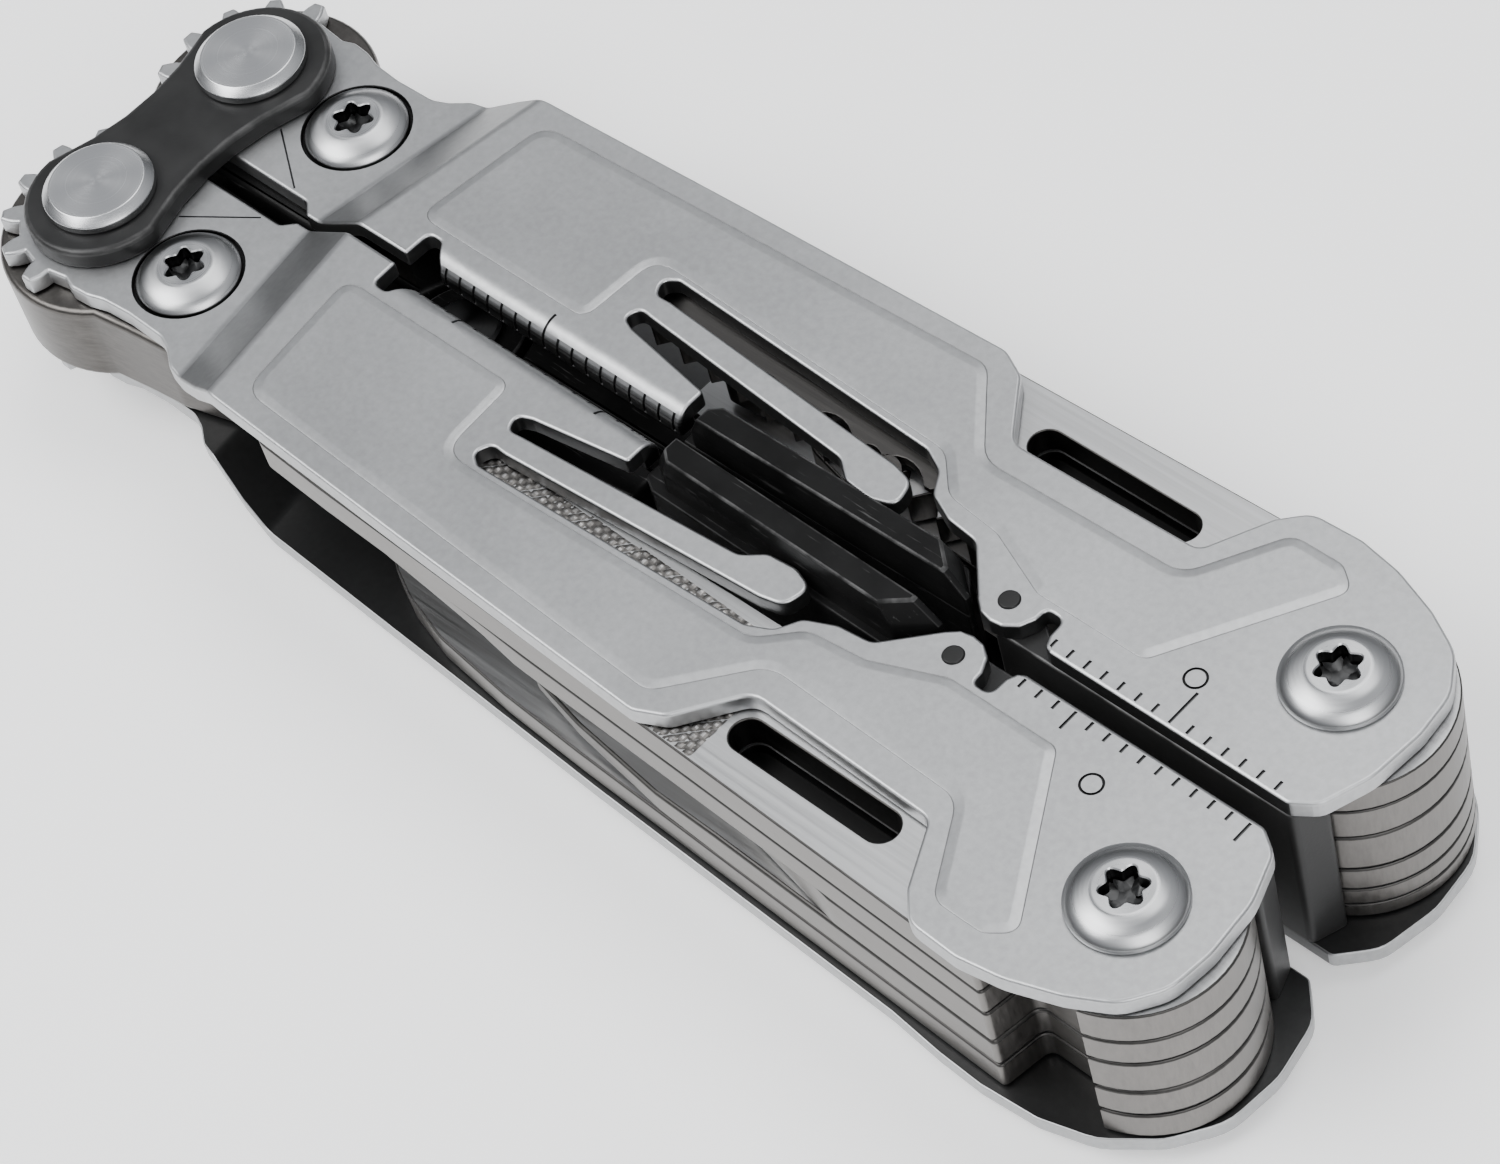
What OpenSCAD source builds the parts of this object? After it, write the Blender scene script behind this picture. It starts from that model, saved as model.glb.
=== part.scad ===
// Pocket multi-tool with folding pliers, shown closed.
// Working frame: the two handle axles lie on x = 0 and the handles run along +X.
// The upper half is on +Y and the lower half mirrors it.  z = 0 is the mid-plane.
// Every node is finally moved so the closed tool is centred and rests on z = 0.

/* [Handles] */
// Overall thickness across the two handle plates, mm
handle_thick = 12; // [10:0.5:14]
// Sheet thickness of every handle plate, mm
plate_t = 1; // [0.8:0.1:1.2]
// Height of the step down from the handle to its toothed head, mm
step_h = 2.4; // [2:0.1:2.6]
// Height of the embossed panels, mm
emboss_h = 0.15; // [0.1:0.05:0.3]
// Gap left between the two closed handles over the long ruler strip, mm
ruler_gap = 1.4; // [1.2:0.1:1.8]

/* [Gears and links] */
// Half the distance between the two handle axles, mm
axle_y = 5.4; // [5.3:0.05:5.5]
// Number of teeth a full gear circle would carry
gear_teeth = 14; // [14:2:14]
// Thickness of the black link plates, mm
link_t = 1.15; // [0.9:0.05:1.3]
// Radius of the rounded ends of the link plates, mm
link_r = 4.2; // [3.8:0.1:4.3]
// Radius of the turned rivet heads on the links, mm
rivet_r = 3; // [2.6:0.1:3.2]

/* [Pliers] */
// Height of the jaw noses across the tool, mm
nose_h = 14; // [12:0.5:14]
// Angle by which each jaw stands open when folded, degrees
nose_gap = 0.8; // [0.7:0.1:1]
// Radius of the rounded jaw tails, mm
tail_r = 6.3; // [6:0.1:6.4]

/* [Fasteners] */
// Radius of the domed screw heads, mm
screw_r = 2.8; // [2.5:0.05:2.9]
// Radius of the jaw axle posts, mm
jaw_post_r = 1.6; // [1.4:0.1:1.8]
// Radius of the tool axle posts, mm
tool_post_r = 2; // [1.6:0.1:2.2]

/* [Tools] */
// Radius of the round tool tangs, mm
tang_r = 5.2; // [4.8:0.05:5.25]
// Gap between neighbouring tools in a stack, mm
layer_gap = 0.1; // [0.08:0.01:0.12]
// Outer edge of the long blades at their tips, measured from the centre line, mm
blade_top = 12; // [11.8:0.1:12.1]

/* [Hidden] */
$fn = 64;
eps = 0.02;
half_z = handle_thick / 2;
in_z = half_z - plate_t;
head_z = half_z - step_h;
head_in = head_z - plate_t;
jaw_pin = [7.1, 6];
tool_pin = [71.5, 7.15];
stop_pin = [56.65, 1.9];
stop_rod_r = 0.75;
slit_y = 0.75;
nose_pin = [21, 0];
gear_tip = axle_y + 0.45;
gear_root = axle_y - 0.6;
gear_base = axle_y * cos(25);
pitch_ang = 360 / gear_teeth;
backlash_ang = 0.8;
link_z = head_z + 0.06;
rivet_top = half_z - 0.3;
rivet_stub_r = 1.5;
recess_d = 0.3;
jaw_z = head_in - 0.1;
lap_gap = 0.06;
post_gap = 0.05;
// thickness and top level of every tool, from the top of the stack down
upper_t = [1.5, 1.9, 2.4, 1.5, 1.1, 0.9];
lower_t = [1.9, 1.7, 2.2, 1.9, 1.7];
function sum(v, n) = n < 0 ? 0 : v[n] + sum(v, n - 1);
function levels(v) = [for (i = [0:len(v) - 1]) in_z - (i + 1) * layer_gap - sum(v, i - 1)];
upper_z = levels(upper_t);
lower_z = levels(lower_t);
slot_x0 = 51.4;
slot_x1 = 59.6;
slot_y = 10.2;
slot_r = 0.9;
model_x0 = jaw_pin[0] - 13.4;
model_x1 = 77.2;
centre_x = (model_x0 + model_x1) / 2;
rest_z = nose_h / 2;

steel = [0.78, 0.78, 0.79];
satin = [0.68, 0.69, 0.7];
bright = [0.86, 0.86, 0.87];
black = [0.09, 0.09, 0.1];

// ---------- shared 2D shapes ----------

// unwinding angle of an involute at the pressure angle p, in degrees
function inv_deg(p) = tan(p) * 180 / PI - p;

// half the angular width of a gear tooth at radius r, in degrees
function half_tooth(r) =
    90 / gear_teeth - backlash_ang + inv_deg(25)
    - inv_deg(acos(min(1, gear_base / r)));

// one tooth standing on the root circle, pointing along +X
module tooth_2d() {
    radii = [gear_root - 0.3, gear_base, 5.1, axle_y, axle_y + 0.25, gear_tip];
    up = [for (r = radii) [r * cos(half_tooth(r)), r * sin(half_tooth(r))]];
    down = [for (i = [len(radii) - 1:-1:0]) [up[i][0], -up[i][1]]];
    polygon(concat(up, down));
}

// toothed half circle around the handle axle
module gear_2d(first, count) {
    translate([0, axle_y]) circle(r = gear_root);
    for (i = [0:count - 1]) {
        translate([0, axle_y]) rotate(first - i * pitch_ang) tooth_2d();
    }
}

// outline of the head and the part of the handle next to it
neck_outer = [
    [0, axle_y + gear_root], [1.9, 10], [2.5, 10.2], [3.6, 10.1], [4.6, 9.8],
    [6.4, 9.65], [9, 9.7], [9.9, 10], [10.8, 10.7], [12.4, 11.1], [14.2, 11.5], [16.4, 11.75]
];
neck_inner = [
    [17.7, 0.35], [10.7, 0.35], [9.9, 0.25], [9.3, 0.35], [8.8, 0.95], [2.4, 0.95], [0, 1]
];

// outline of a top plate, with the bay that shows the outermost tool
top_outer = [
    [46.4, 12.85], [47.5, 12.65], [48.4, 12], [50.3, 9.2], [50.9, 8.85], [61.3, 9],
    [61.9, 9.4], [63.4, 12.3], [64, 13.2], [64.8, 13.6], [68, 13.7], [70, 13.3],
    [72.4, 12.4], [74.4, 11.4], [75.4, 10.4], [76, 9], [76.15, 7], [76.05, 5],
    [75.7, 3.4], [75.2, 2.1], [74.7, 1.25], [74.2, 0.85], [73.8, slit_y], [57, slit_y]
];

// outline of a bottom plate, which covers its tools completely
bottom_outer = [
    [41, 12.85], [61, 13.45], [64.6, 13.75], [67.6, 13.8], [71, 13.4], [73.4, 12.5],
    [75.4, 10.8], [76.8, 8.6], [77.2, 6.6], [76.9, 3.8], [76.3, 2], [75.4, 0.9],
    [74.7, slit_y], [57, slit_y]
];

// window around the jaw nose, leaving the long spring arm standing
window = [
    [36.4, -1], [36.4, 2.6], [30.4, 3.5], [31.1, 4.4], [44.4, 3.45], [45.1, 3.15],
    [45.6, 2.7], [46.2, 2.5], [47.6, 2.45], [48.2, 2.6], [48.6, 3], [48.6, 3.8],
    [48.2, 4.3], [47.5, 4.6], [31.1, 5.75], [30.4, 6.9], [47.4, 6.2], [48.4, 5.9],
    [49.2, 5.1], [49.6, 4.4], [50.3, 3.9], [53, 3.5], [53.6, 3.2], [55, 1.6],
    [55.5, 1], [56, 0.65], [56.6, 0.5], [57.2, 0.55], [57.7, 0.75], [57.7, -1]
];

// slot beside the hooked stop rod boss, open towards the centre line
hook_slot = [
    [58.4, 2], [58.35, 1.6], [58.1, 1.15], [57.7, 0.75], [57.3, 0.5], [57.3, -1],
    [60.1, -1], [60.1, 0.7], [59.6, 1], [59.4, 1.5], [59.4, 2]
];

module handle_2d(outer, first, count) {
    difference() {
        union() {
            gear_2d(first, count);
            polygon(concat([[0, axle_y]], neck_outer, outer, [[36.4, ruler_gap / 2]],
                [[18.8, ruler_gap / 2]], neck_inner));
        }
        translate([0, axle_y]) circle(r = rivet_stub_r + eps);
        translate(jaw_pin) circle(r = jaw_post_r + eps);
        translate(tool_pin) circle(r = tool_post_r + eps);
        translate(stop_pin) circle(r = stop_rod_r + eps);
        // relief notches at both ends of the narrow centre gap
        translate([18.2, 1.5]) circle(r = 0.45);
        translate([17.75, -0.5]) square([0.9, 2]);
        polygon([[18.6, 1.6], [18.6, 0], [19.4, 0], [19.3, 0.75]]);
        translate([58.9, 2]) circle(r = 0.5);
        polygon(hook_slot);
        polygon(window);
        translate([30.4, 4]) circle(r = 0.55);
        translate([30.4, 6.3]) circle(r = 0.6);
    }
}

// embossed panel that follows the outline of the handle
panel = [
    [16.6, 3.7], [17.5, 3.1], [27.6, 3.1], [28.4, 3.7], [28.5, 6.2], [29.1, 7.4],
    [30.4, 8], [31.7, 7.7], [48.2, 7.3], [50.4, 5.2], [53.6, 4.9], [57.6, 3.3],
    [63.6, 3.2], [68.6, 10.8], [67.7, 12.2], [65.2, 12.2], [62.2, 8], [50.4, 7.6],
    [46.8, 11.5], [45.8, 11.8], [17.6, 11.2]
];

// side profile of a handle plate: head, sloping step, then the long level part
module step_solid() {
    lean = 0.3;
    rotate([0, 0, -9]) rotate([90, 0, 0]) linear_extrude(60, center = true) polygon([
        [-30, head_in], [10.2, head_in], [14, in_z], [100, in_z], [100, half_z],
        [14 - lean, half_z], [10.2 - lean, head_z], [-30, head_z]
    ]);
}

// turned domed screw head with a six-lobed socket, seat at z = 0
module screw_head(r) {
    difference() {
        intersection() {
            cylinder(r = r, h = 1.2);
            translate([0, 0, 1.2 - 2 * r]) sphere(r = 2 * r);
        }
        translate([0, 0, 0.35]) socket(0.9);
    }
    translate([0, 0, -3]) cylinder(r = 0.9, h = 3 + eps);
}

module socket(h) {
    cylinder(r = 0.85, h = h);
    for (i = [0:5]) rotate(i * 60) translate([0.85, 0, 0]) cylinder(r = 0.28, h = h);
}

// axle post: flat flange below, threaded bore above
module post(r, flange_r, z0, z_seat, z1) {
    difference() {
        union() {
            translate([0, 0, z0]) cylinder(r = flange_r, h = z_seat - z0);
            translate([0, 0, z_seat - eps]) cylinder(r = r, h = z1 - z_seat + eps);
        }
        translate([0, 0, z1 - 3.1]) cylinder(r = 0.92, h = 4);
    }
}

// ---------- handle halves, drawn on the +Y side ----------

module top_plate(first, count, long_tick) {
    color(satin) difference() {
        union() {
            intersection() {
                step_solid();
                linear_extrude(20) handle_2d(top_outer, first, count);
            }
            translate([0, 0, half_z - eps]) linear_extrude(emboss_h + eps) panel_2d();
            // rolled lip that stiffens the ruler strip
            translate([19.6, ruler_gap / 2, in_z - 0.7]) cube([16.4, 0.5, 0.8]);
        }
        // round recess for the jaw screw
        translate([jaw_pin[0], jaw_pin[1], head_z - recess_d]) cylinder(r = screw_r + 0.25, h = 2);
        ruler(long_tick);
    }
}

module panel_2d() {
    difference() {
        polygon(panel);
        translate(ring_at) circle(r = 0.9);
    }
}

// engraved millimetre marks and a stamped ring
ring_at = [66.35, 3.4];
module ruler(long_tick) {
    deep = 0.12;
    for (i = [0:16]) {
        tick = (i % 10 == long_tick) ? 1.3 : 0.6;
        translate([19.9 + i, ruler_gap / 2, half_z - deep]) cube([0.14, tick, 1]);
    }
    for (i = [0:13]) {
        tick = (i % 10 == long_tick) ? 1.4 : 0.6;
        translate([60 + i, slit_y, half_z - deep]) cube([0.14, tick, 1]);
    }
    translate([ring_at[0], ring_at[1], half_z - deep]) difference() {
        cylinder(r = 0.6, h = 1);
        translate([0, 0, -1]) cylinder(r = 0.46, h = 3);
    }
}

module bottom_plate(first, count) {
    color(satin) mirror([0, 0, 1]) difference() {
        union() {
            intersection() {
                step_solid();
                linear_extrude(20) handle_2d(bottom_outer, first, count);
            }
            translate([0, 0, half_z - eps]) linear_extrude(emboss_h + eps) polygon(panel);
            translate([19.6, ruler_gap / 2, in_z - 0.7]) cube([16.4, 0.5, 0.8]);
        }
        translate([jaw_pin[0], jaw_pin[1], head_z - recess_d]) cylinder(r = screw_r + 0.25, h = 2);
    }
}

// black wall between the plates, bent outwards where it stops the opened tools
module spine() {
    color(black) difference() {
        union() {
            translate([0, 0, -in_z]) linear_extrude(2 * in_z) polygon([
                [56.65, 0.7], [73.95, 0.7], [74.6, 2.5], [74.3, 2.6], [73.5, 1.75],
                [58.8, 1.75], [57.6, 2.8]
            ]);
            translate([stop_pin[0], stop_pin[1], -in_z])
                cylinder(r = stop_rod_r + 0.38, h = 2 * in_z);
        }
        translate([stop_pin[0], stop_pin[1], -in_z - 1])
            cylinder(r = stop_rod_r + eps, h = 2 * in_z + 2);
    }
}

module stop_rod() {
    color(black) translate([stop_pin[0], stop_pin[1], -half_z - 0.1])
        cylinder(r = stop_rod_r, h = handle_thick + 0.2);
}

module tool_post() {
    color(bright) translate([tool_pin[0], tool_pin[1], 0])
        post(tool_post_r, screw_r, -rest_z, -half_z, half_z - 0.1);
}

module tool_screw() {
    color(bright) translate([tool_pin[0], tool_pin[1], half_z + eps]) screw_head(screw_r);
}

module jaw_post() {
    color(bright) translate([jaw_pin[0], jaw_pin[1], 0])
        post(jaw_post_r, screw_r, -head_z - 0.7, -head_z + recess_d, head_z - recess_d - 0.1);
}

module jaw_screw() {
    color(bright) translate([jaw_pin[0], jaw_pin[1], head_z - recess_d + eps])
        screw_head(screw_r);
}

// ---------- pliers ----------

// turns a jaw drawn closed into its folded place
module folded_jaw() {
    translate(jaw_pin) rotate(nose_gap) translate(-jaw_pin) children();
}

module jaw_body_2d() {
    intersection() {
        union() {
            translate([0, axle_y]) circle(r = tail_r);
            polygon([
                [0, 0.3], [0, 11.6], [4.4, 10.4], [6, 9.9], [8.6, 9.7], [12.5, 8.6], [18, 6],
                [24, 4.1], [30, 2.9], [36, 2.2], [36, 0.05], [24, 0.05], [17.2, 0.3]
            ]);
        }
        translate([-20, 0.05]) square([80, 20]);
        polygon([[-20, 0.3], [17.2, 0.3], [17.5, 0.05], [40, 0.05], [40, 20], [-20, 20]]);
    }
}

// nose seen from above, wide below the handle plates
module nose_2d(outer, end) {
    polygon([
        [end, 0.05], [54.9, 0.05], [54.9, 0.3], [53.1, outer], [end + 0.8, outer],
        [end, outer - 0.5]
    ]);
}

// jaw with its lap boss on the side given by s (+1 above, -1 below the mid-plane)
module jaw(s) {
    color(black) folded_jaw() difference() {
        union() {
            difference() {
                translate([0, 0, -jaw_z]) linear_extrude(2 * jaw_z) jaw_body_2d();
                // room for the boss of the other jaw
                translate([nose_pin[0], nose_pin[1], s > 0 ? -jaw_z - 1 : -lap_gap])
                    cylinder(r = 3.6, h = jaw_z + 1 + lap_gap);
            }
            translate([nose_pin[0], nose_pin[1], s > 0 ? lap_gap : -jaw_z])
                cylinder(r = 3.1, h = jaw_z - lap_gap);
            // stays under the rolled ruler lip of the handle plates
            translate([0, 0, -in_z + 0.9]) linear_extrude(2 * in_z - 1.8) nose_2d(2.2, 33);
            translate([0, 0, -in_z + 0.3]) linear_extrude(2 * in_z - 0.6) nose_2d(2.2, 36.6);
            translate([0, 0, -rest_z + 0.3]) linear_extrude(nose_h - 0.6) nose_2d(1.75, 37.3);
            translate([0, 0, -rest_z]) linear_extrude(nose_h)
                polygon([[38, 0.25], [53.9, 0.25], [52.9, 1.6], [38, 1.6]]);
        }
        translate([jaw_pin[0], jaw_pin[1], -5]) cylinder(r = jaw_post_r + post_gap, h = 10);
        translate([nose_pin[0], nose_pin[1], -5]) cylinder(r = 1.12, h = 10);
        // cross teeth on the gripping face
        for (i = [0:7]) {
            translate([46 + i, 0.05, -10]) rotate(45) translate([-0.18, -0.18, 0])
                cube([0.36, 0.36, 20]);
        }
    }
}

// each jaw keeps its own half of the split pivot rivet
module jaw_rivet(s) {
    color(bright) folded_jaw() translate([nose_pin[0], nose_pin[1], 0])
        mirror([0, 0, s > 0 ? 0 : 1]) {
            translate([0, 0, lap_gap]) cylinder(r = 1.1, h = jaw_z);
            translate([0, 0, jaw_z + eps]) cylinder(r = 1.9, h = 0.45);
        }
}

// ---------- tools, drawn folded in the upper handle ----------

// outer edge of a blade at x: it follows the slight taper of the handle
function back(x) = [x, blade_top + 0.027 * (x - 20)];

// where every blade outline runs into its round tang, with a square lock notch
notch_x = 68.3;
notch_y = 10.6;
tang_side = [
    back(notch_x - 0.5), [notch_x - 0.1, 12.9], [notch_x, 11.1], [notch_x + 0.5, notch_y],
    [70, notch_y], [69, 3.4], [62, 3.4]
];

// one flat tool: tang disc and blade, with the children cut out of it
module tool(z_top, t, blade) {
    color(steel) translate([0, 0, z_top - t]) difference() {
        union() {
            difference() {
                translate(tool_pin) cylinder(r = tang_r, h = t);
                translate([notch_x, notch_y, -1]) cube([4.5, 3, t + 2]);
            }
            linear_extrude(t) polygon(concat(blade, tang_side));
        }
        translate([tool_pin[0], tool_pin[1], -1]) cylinder(r = tool_post_r + post_gap, h = t + 2);
        if ($children > 0) translate([0, 0, -1]) linear_extrude(t + 2) children();
    }
}

module long_slot() {
    translate([slot_x0, slot_y]) circle(r = slot_r);
    translate([slot_x1, slot_y]) circle(r = slot_r);
    translate([slot_x0, slot_y - slot_r]) square([slot_x1 - slot_x0, 2 * slot_r]);
}

module knife_blade() {
    difference() {
        tool(upper_z[0], upper_t[0], [
            [56, 3.9], [53, 4.9], [50.5, 5.2], [30, 5.4], [26, 5.9], [23, 7], [21, 8.6],
            [19.6, 10.6], [23, 11.7], back(27)
        ]) {
            long_slot();
            // scalloped edge: one large and two small scallops, repeated
            for (i = [0:3]) {
                translate([32.6 + i * 4.6, 4.1]) circle(r = 1.9);
                translate([35.2 + i * 4.6, 4.7]) circle(r = 1);
                translate([36.4 + i * 4.6, 4.7]) circle(r = 1);
            }
        }
        // ground bevels run out to a thin edge
        for (s = [-1, 1]) {
            translate([0, 5.3, upper_z[0] - upper_t[0] / 2]) rotate([s * 11, 0, 0])
                translate([18, -6, s > 0 ? 0.12 : -3.12]) cube([33, 9, 3]);
        }
    }
}

module saw_blade() {
    tool(upper_z[1], upper_t[1], [
        [54, 4.3], [52, 5.5], [27, 6.6], [25.6, 8], [26.6, 11], back(30)
    ]) {
        for (i = [0:11]) {
            translate([28 + i * 2, 6.9 - i * 0.09]) polygon([[0, 0], [1, -2], [-1, -2]]);
        }
    }
}

module can_opener() {
    tool(upper_z[2], upper_t[2], [
        [60, 4.2], [50, 4.6], [44, 4.4], [39.5, 5.4], [38, 7.6], [38.6, 9.6], [41, 10.6],
        [44, 10.2], [45.6, 10.9], [48, 12], back(52)
    ]) {
        translate([45.4, 8.2]) circle(r = 1.7);
        translate([37, 7.7]) square([8, 1]);
    }
}

module bottle_opener() {
    tool(upper_z[3], upper_t[3], [
        [56, 4], [40, 4.2], [33.5, 5], [31.4, 6.8], [31.6, 10], [34, 11.7], [40, 12.2],
        back(44)
    ]) {
        translate([38.6, 6.6]) circle(r = 1.8);
        polygon([[30, 5.2], [38.6, 4.8], [38.6, 8.4], [36, 8.6], [33.4, 7.2], [30, 7]]);
    }
}

module medium_driver() {
    tool(upper_z[4], upper_t[4], [
        [60, 4], [46, 5.4], [31, 5.6], [29.4, 5.8], [29.4, 10.2], [31, 10.4], [46, 10.8],
        [52, 12]
    ]);
}

module small_driver() {
    tool(upper_z[5], upper_t[5], [
        [60, 4.4], [52, 6.2], [35, 6.8], [34, 7], [34, 9.4], [35, 9.6], [52, 10.2], [56, 11.8]
    ]);
}

module file_blade() {
    difference() {
        tool(lower_z[0], lower_t[0], [
            [56, 3.9], [52, 4.7], [30, 5], [24, 5.6], [20.4, 8], [18.6, 11.3], [19.6, 11.9],
            back(24)
        ]) long_slot();
        // coarse cross-cut on the upper face
        for (i = [0:25]) {
            translate([21 + i * 1.2, 8.6, lower_z[0]]) rotate([45, 0, 62])
                cube([9, 0.14, 0.14], center = true);
        }
    }
}

module large_driver() {
    tool(lower_z[1], lower_t[1], [
        [60, 3.6], [50, 4.8], [38, 5.6], [28, 6.2], [28, 12], back(38)
    ]);
}

module phillips_driver() {
    tool(lower_z[2], lower_t[2], [
        [60, 3.8], [52, 5], [38, 6], [34, 6.8], [32, 7.9], [31.6, 8.4], [32, 8.9], [34, 10],
        [38, 10.8], [50, 11.6], back(58)
    ]);
}

module awl() {
    tool(lower_z[3], lower_t[3], [
        [60, 3.8], [54, 5.2], [48, 6.2], [41, 8.6], [36, 11.2], [40, 12], back(46)
    ]);
}

module hook_blade() {
    tool(lower_z[4], lower_t[4], [
        [60, 3.8], [52, 4.4], [36, 4.6], [28, 5.6], [23.4, 9.4], [24.8, 10.2], [26.6, 11],
        [29.6, 11.8], [34.6, 12.3], back(40)
    ]) {
        translate([31, 7.2]) circle(r = 1.6);
        polygon([[22, 6.4], [31, 5.6], [31, 8.8], [24.6, 7.6], [22, 9.2]]);
    }
}

// ---------- link ----------

module link_plate_2d() {
    difference() {
        union() {
            for (s = [-1, 1]) translate([0, s * axle_y]) circle(r = link_r);
            translate([-3.9, -axle_y]) square([7.8, 2 * axle_y]);
        }
        for (s = [-1, 1]) {
            translate([s * 17.1, 0]) circle(r = 14);
            translate([0, s * axle_y]) circle(r = rivet_stub_r + eps);
        }
    }
}

module link_plate() {
    color(black) translate([0, 0, link_z]) linear_extrude(link_t) link_plate_2d();
}

// pair of turned heads on short stubs; the lower pair is taller and carries the closed tool
module link_rivets(top) {
    color(bright) for (s = [-1, 1]) translate([0, s * axle_y, 0]) {
        translate([0, 0, head_in]) cylinder(r = rivet_stub_r, h = link_z + link_t + 0.1 - head_in);
        translate([0, 0, link_z + link_t + eps]) cylinder(r = rivet_r, h = 0.5);
        translate([0, 0, link_z + link_t + 0.5])
            cylinder(r1 = rivet_r, r2 = rivet_r - 0.5, h = top - link_z - link_t - 0.5);
    }
}

// ---------- nodes ----------

module place() {
    translate([-centre_x, 0, rest_z]) children();
}

module lower() {
    mirror([0, 1, 0]) children();
}

place() link_plate();  // link_plate_top
place() mirror([0, 0, 1]) link_plate();  // link_plate_bottom
place() link_rivets(rivet_top);  // link_rivets_top
place() mirror([0, 0, 1]) link_rivets(rest_z);  // link_rivets_bottom
place() top_plate(257.14, 7, 7);  // upper_plate_top
place() bottom_plate(257.14, 7);  // upper_plate_bottom
place() spine();  // upper_spine
place() stop_rod();  // upper_stop_rod
place() tool_post();  // upper_tool_post
place() tool_screw();  // upper_tool_screw
place() jaw_post();  // upper_jaw_post
place() jaw_screw();  // upper_jaw_screw
place() lower() top_plate(270, 8, 3);  // lower_plate_top
place() lower() bottom_plate(270, 8);  // lower_plate_bottom
place() lower() spine();  // lower_spine
place() lower() stop_rod();  // lower_stop_rod
place() lower() tool_post();  // lower_tool_post
place() lower() tool_screw();  // lower_tool_screw
place() lower() jaw_post();  // lower_jaw_post
place() lower() jaw_screw();  // lower_jaw_screw
place() jaw(1);  // upper_jaw
place() jaw_rivet(1);  // upper_jaw_rivet
place() lower() jaw(-1);  // lower_jaw
place() lower() jaw_rivet(-1);  // lower_jaw_rivet
place() knife_blade();
place() saw_blade();
place() can_opener();
place() bottle_opener();
place() medium_driver();
place() small_driver();
place() lower() file_blade();
place() lower() large_driver();
place() lower() phillips_driver();
place() lower() awl();
place() lower() hook_blade();
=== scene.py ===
"""Looks of a closed pocket multi-tool with geared, folding pliers.

Shapes are drawn in millimetres in a working frame: the two handle axles lie on x = 0, the handles run
along +X, the upper handle is on +Y and z = 0 is the mid-plane.  Piece.build() carries each finished mesh
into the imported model's frame, in metres.
"""
import math
import random

import bmesh
import bpy
from mathutils import Matrix, Vector


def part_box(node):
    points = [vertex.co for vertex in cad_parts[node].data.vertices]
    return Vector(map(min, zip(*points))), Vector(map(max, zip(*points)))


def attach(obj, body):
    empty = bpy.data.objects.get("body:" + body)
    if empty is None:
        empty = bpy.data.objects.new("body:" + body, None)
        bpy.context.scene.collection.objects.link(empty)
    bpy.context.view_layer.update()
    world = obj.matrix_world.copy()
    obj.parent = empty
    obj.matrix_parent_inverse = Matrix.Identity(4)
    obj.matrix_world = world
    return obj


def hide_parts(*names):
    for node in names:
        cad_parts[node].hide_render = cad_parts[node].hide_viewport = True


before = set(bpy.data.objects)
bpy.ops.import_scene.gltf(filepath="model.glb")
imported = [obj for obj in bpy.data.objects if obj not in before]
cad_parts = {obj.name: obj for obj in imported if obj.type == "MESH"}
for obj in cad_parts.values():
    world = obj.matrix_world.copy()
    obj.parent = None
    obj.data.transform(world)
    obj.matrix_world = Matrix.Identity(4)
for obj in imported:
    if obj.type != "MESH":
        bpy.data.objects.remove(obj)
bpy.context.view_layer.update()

MM = 0.001


# ---------- places taken from the frame ----------

def box_mm(node):
    low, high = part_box(node)
    return Vector(low) / MM, Vector(high) / MM


def middle(node):
    low, high = box_mm(node)
    return (low + high) / 2


LINK = middle("link_plate_top")
PLATE_LOW = box_mm("upper_plate_bottom")[0]
PLATE_HIGH = box_mm("upper_plate_top")[1]
ORIGIN = Vector((LINK.x, 0, (PLATE_LOW.z + PLATE_HIGH.z) / 2))
TO_FRAME = Matrix.Scale(MM, 4) @ Matrix.Translation(ORIGIN)

EMBOSS = 0.15
PLATE_T = 1.0
HALF_Z = (PLATE_HIGH.z - PLATE_LOW.z) / 2 - EMBOSS
IN_Z = HALF_Z - PLATE_T
LINK_LOW, LINK_HIGH = (corner - ORIGIN for corner in box_mm("link_plate_top"))
HEAD_Z = LINK_LOW.z - 0.06
STEP_H = HALF_Z - HEAD_Z
RIVET_TOPS = {"top": (box_mm("link_rivets_top")[1] - ORIGIN).z,
              "bottom": -(box_mm("link_rivets_bottom")[0] - ORIGIN).z}
REST_Z = -(box_mm("upper_tool_post")[0] - ORIGIN).z
JAW_PIN = middle("upper_jaw_post") - ORIGIN
TOOL_PIN = middle("upper_tool_post") - ORIGIN
STOP_PIN = middle("upper_stop_rod") - ORIGIN
SCREW_R = (box_mm("upper_tool_screw")[1].x - box_mm("upper_tool_screw")[0].x) / 2
RIVET_R = (box_mm("link_rivets_top")[1].x - box_mm("link_rivets_top")[0].x) / 2
AXLE_Y = 5.4
TEETH = 14
GEAR_TIP = AXLE_Y + 0.45
GEAR_ROOT = AXLE_Y - 0.6
GEAR_BASE = AXLE_Y * math.cos(math.radians(25))
NOSE_GAP = 0.8
RULER_Y = 0.7
SLIT_Y = 0.75


# ---------- 2D outlines ----------

def arc(centre, radius, start, end, step=9):
    """Points along an arc, angles in degrees, end included."""
    count = max(2, int(abs(end - start) / step) + 1)
    points = []
    for i in range(count + 1):
        angle = math.radians(start + (end - start) * i / count)
        points.append((centre[0] + radius * math.cos(angle), centre[1] + radius * math.sin(angle)))
    return points


def circle(centre, radius, count=48):
    return [(centre[0] + radius * math.cos(2 * math.pi * i / count),
             centre[1] + radius * math.sin(2 * math.pi * i / count)) for i in range(count)]


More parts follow.
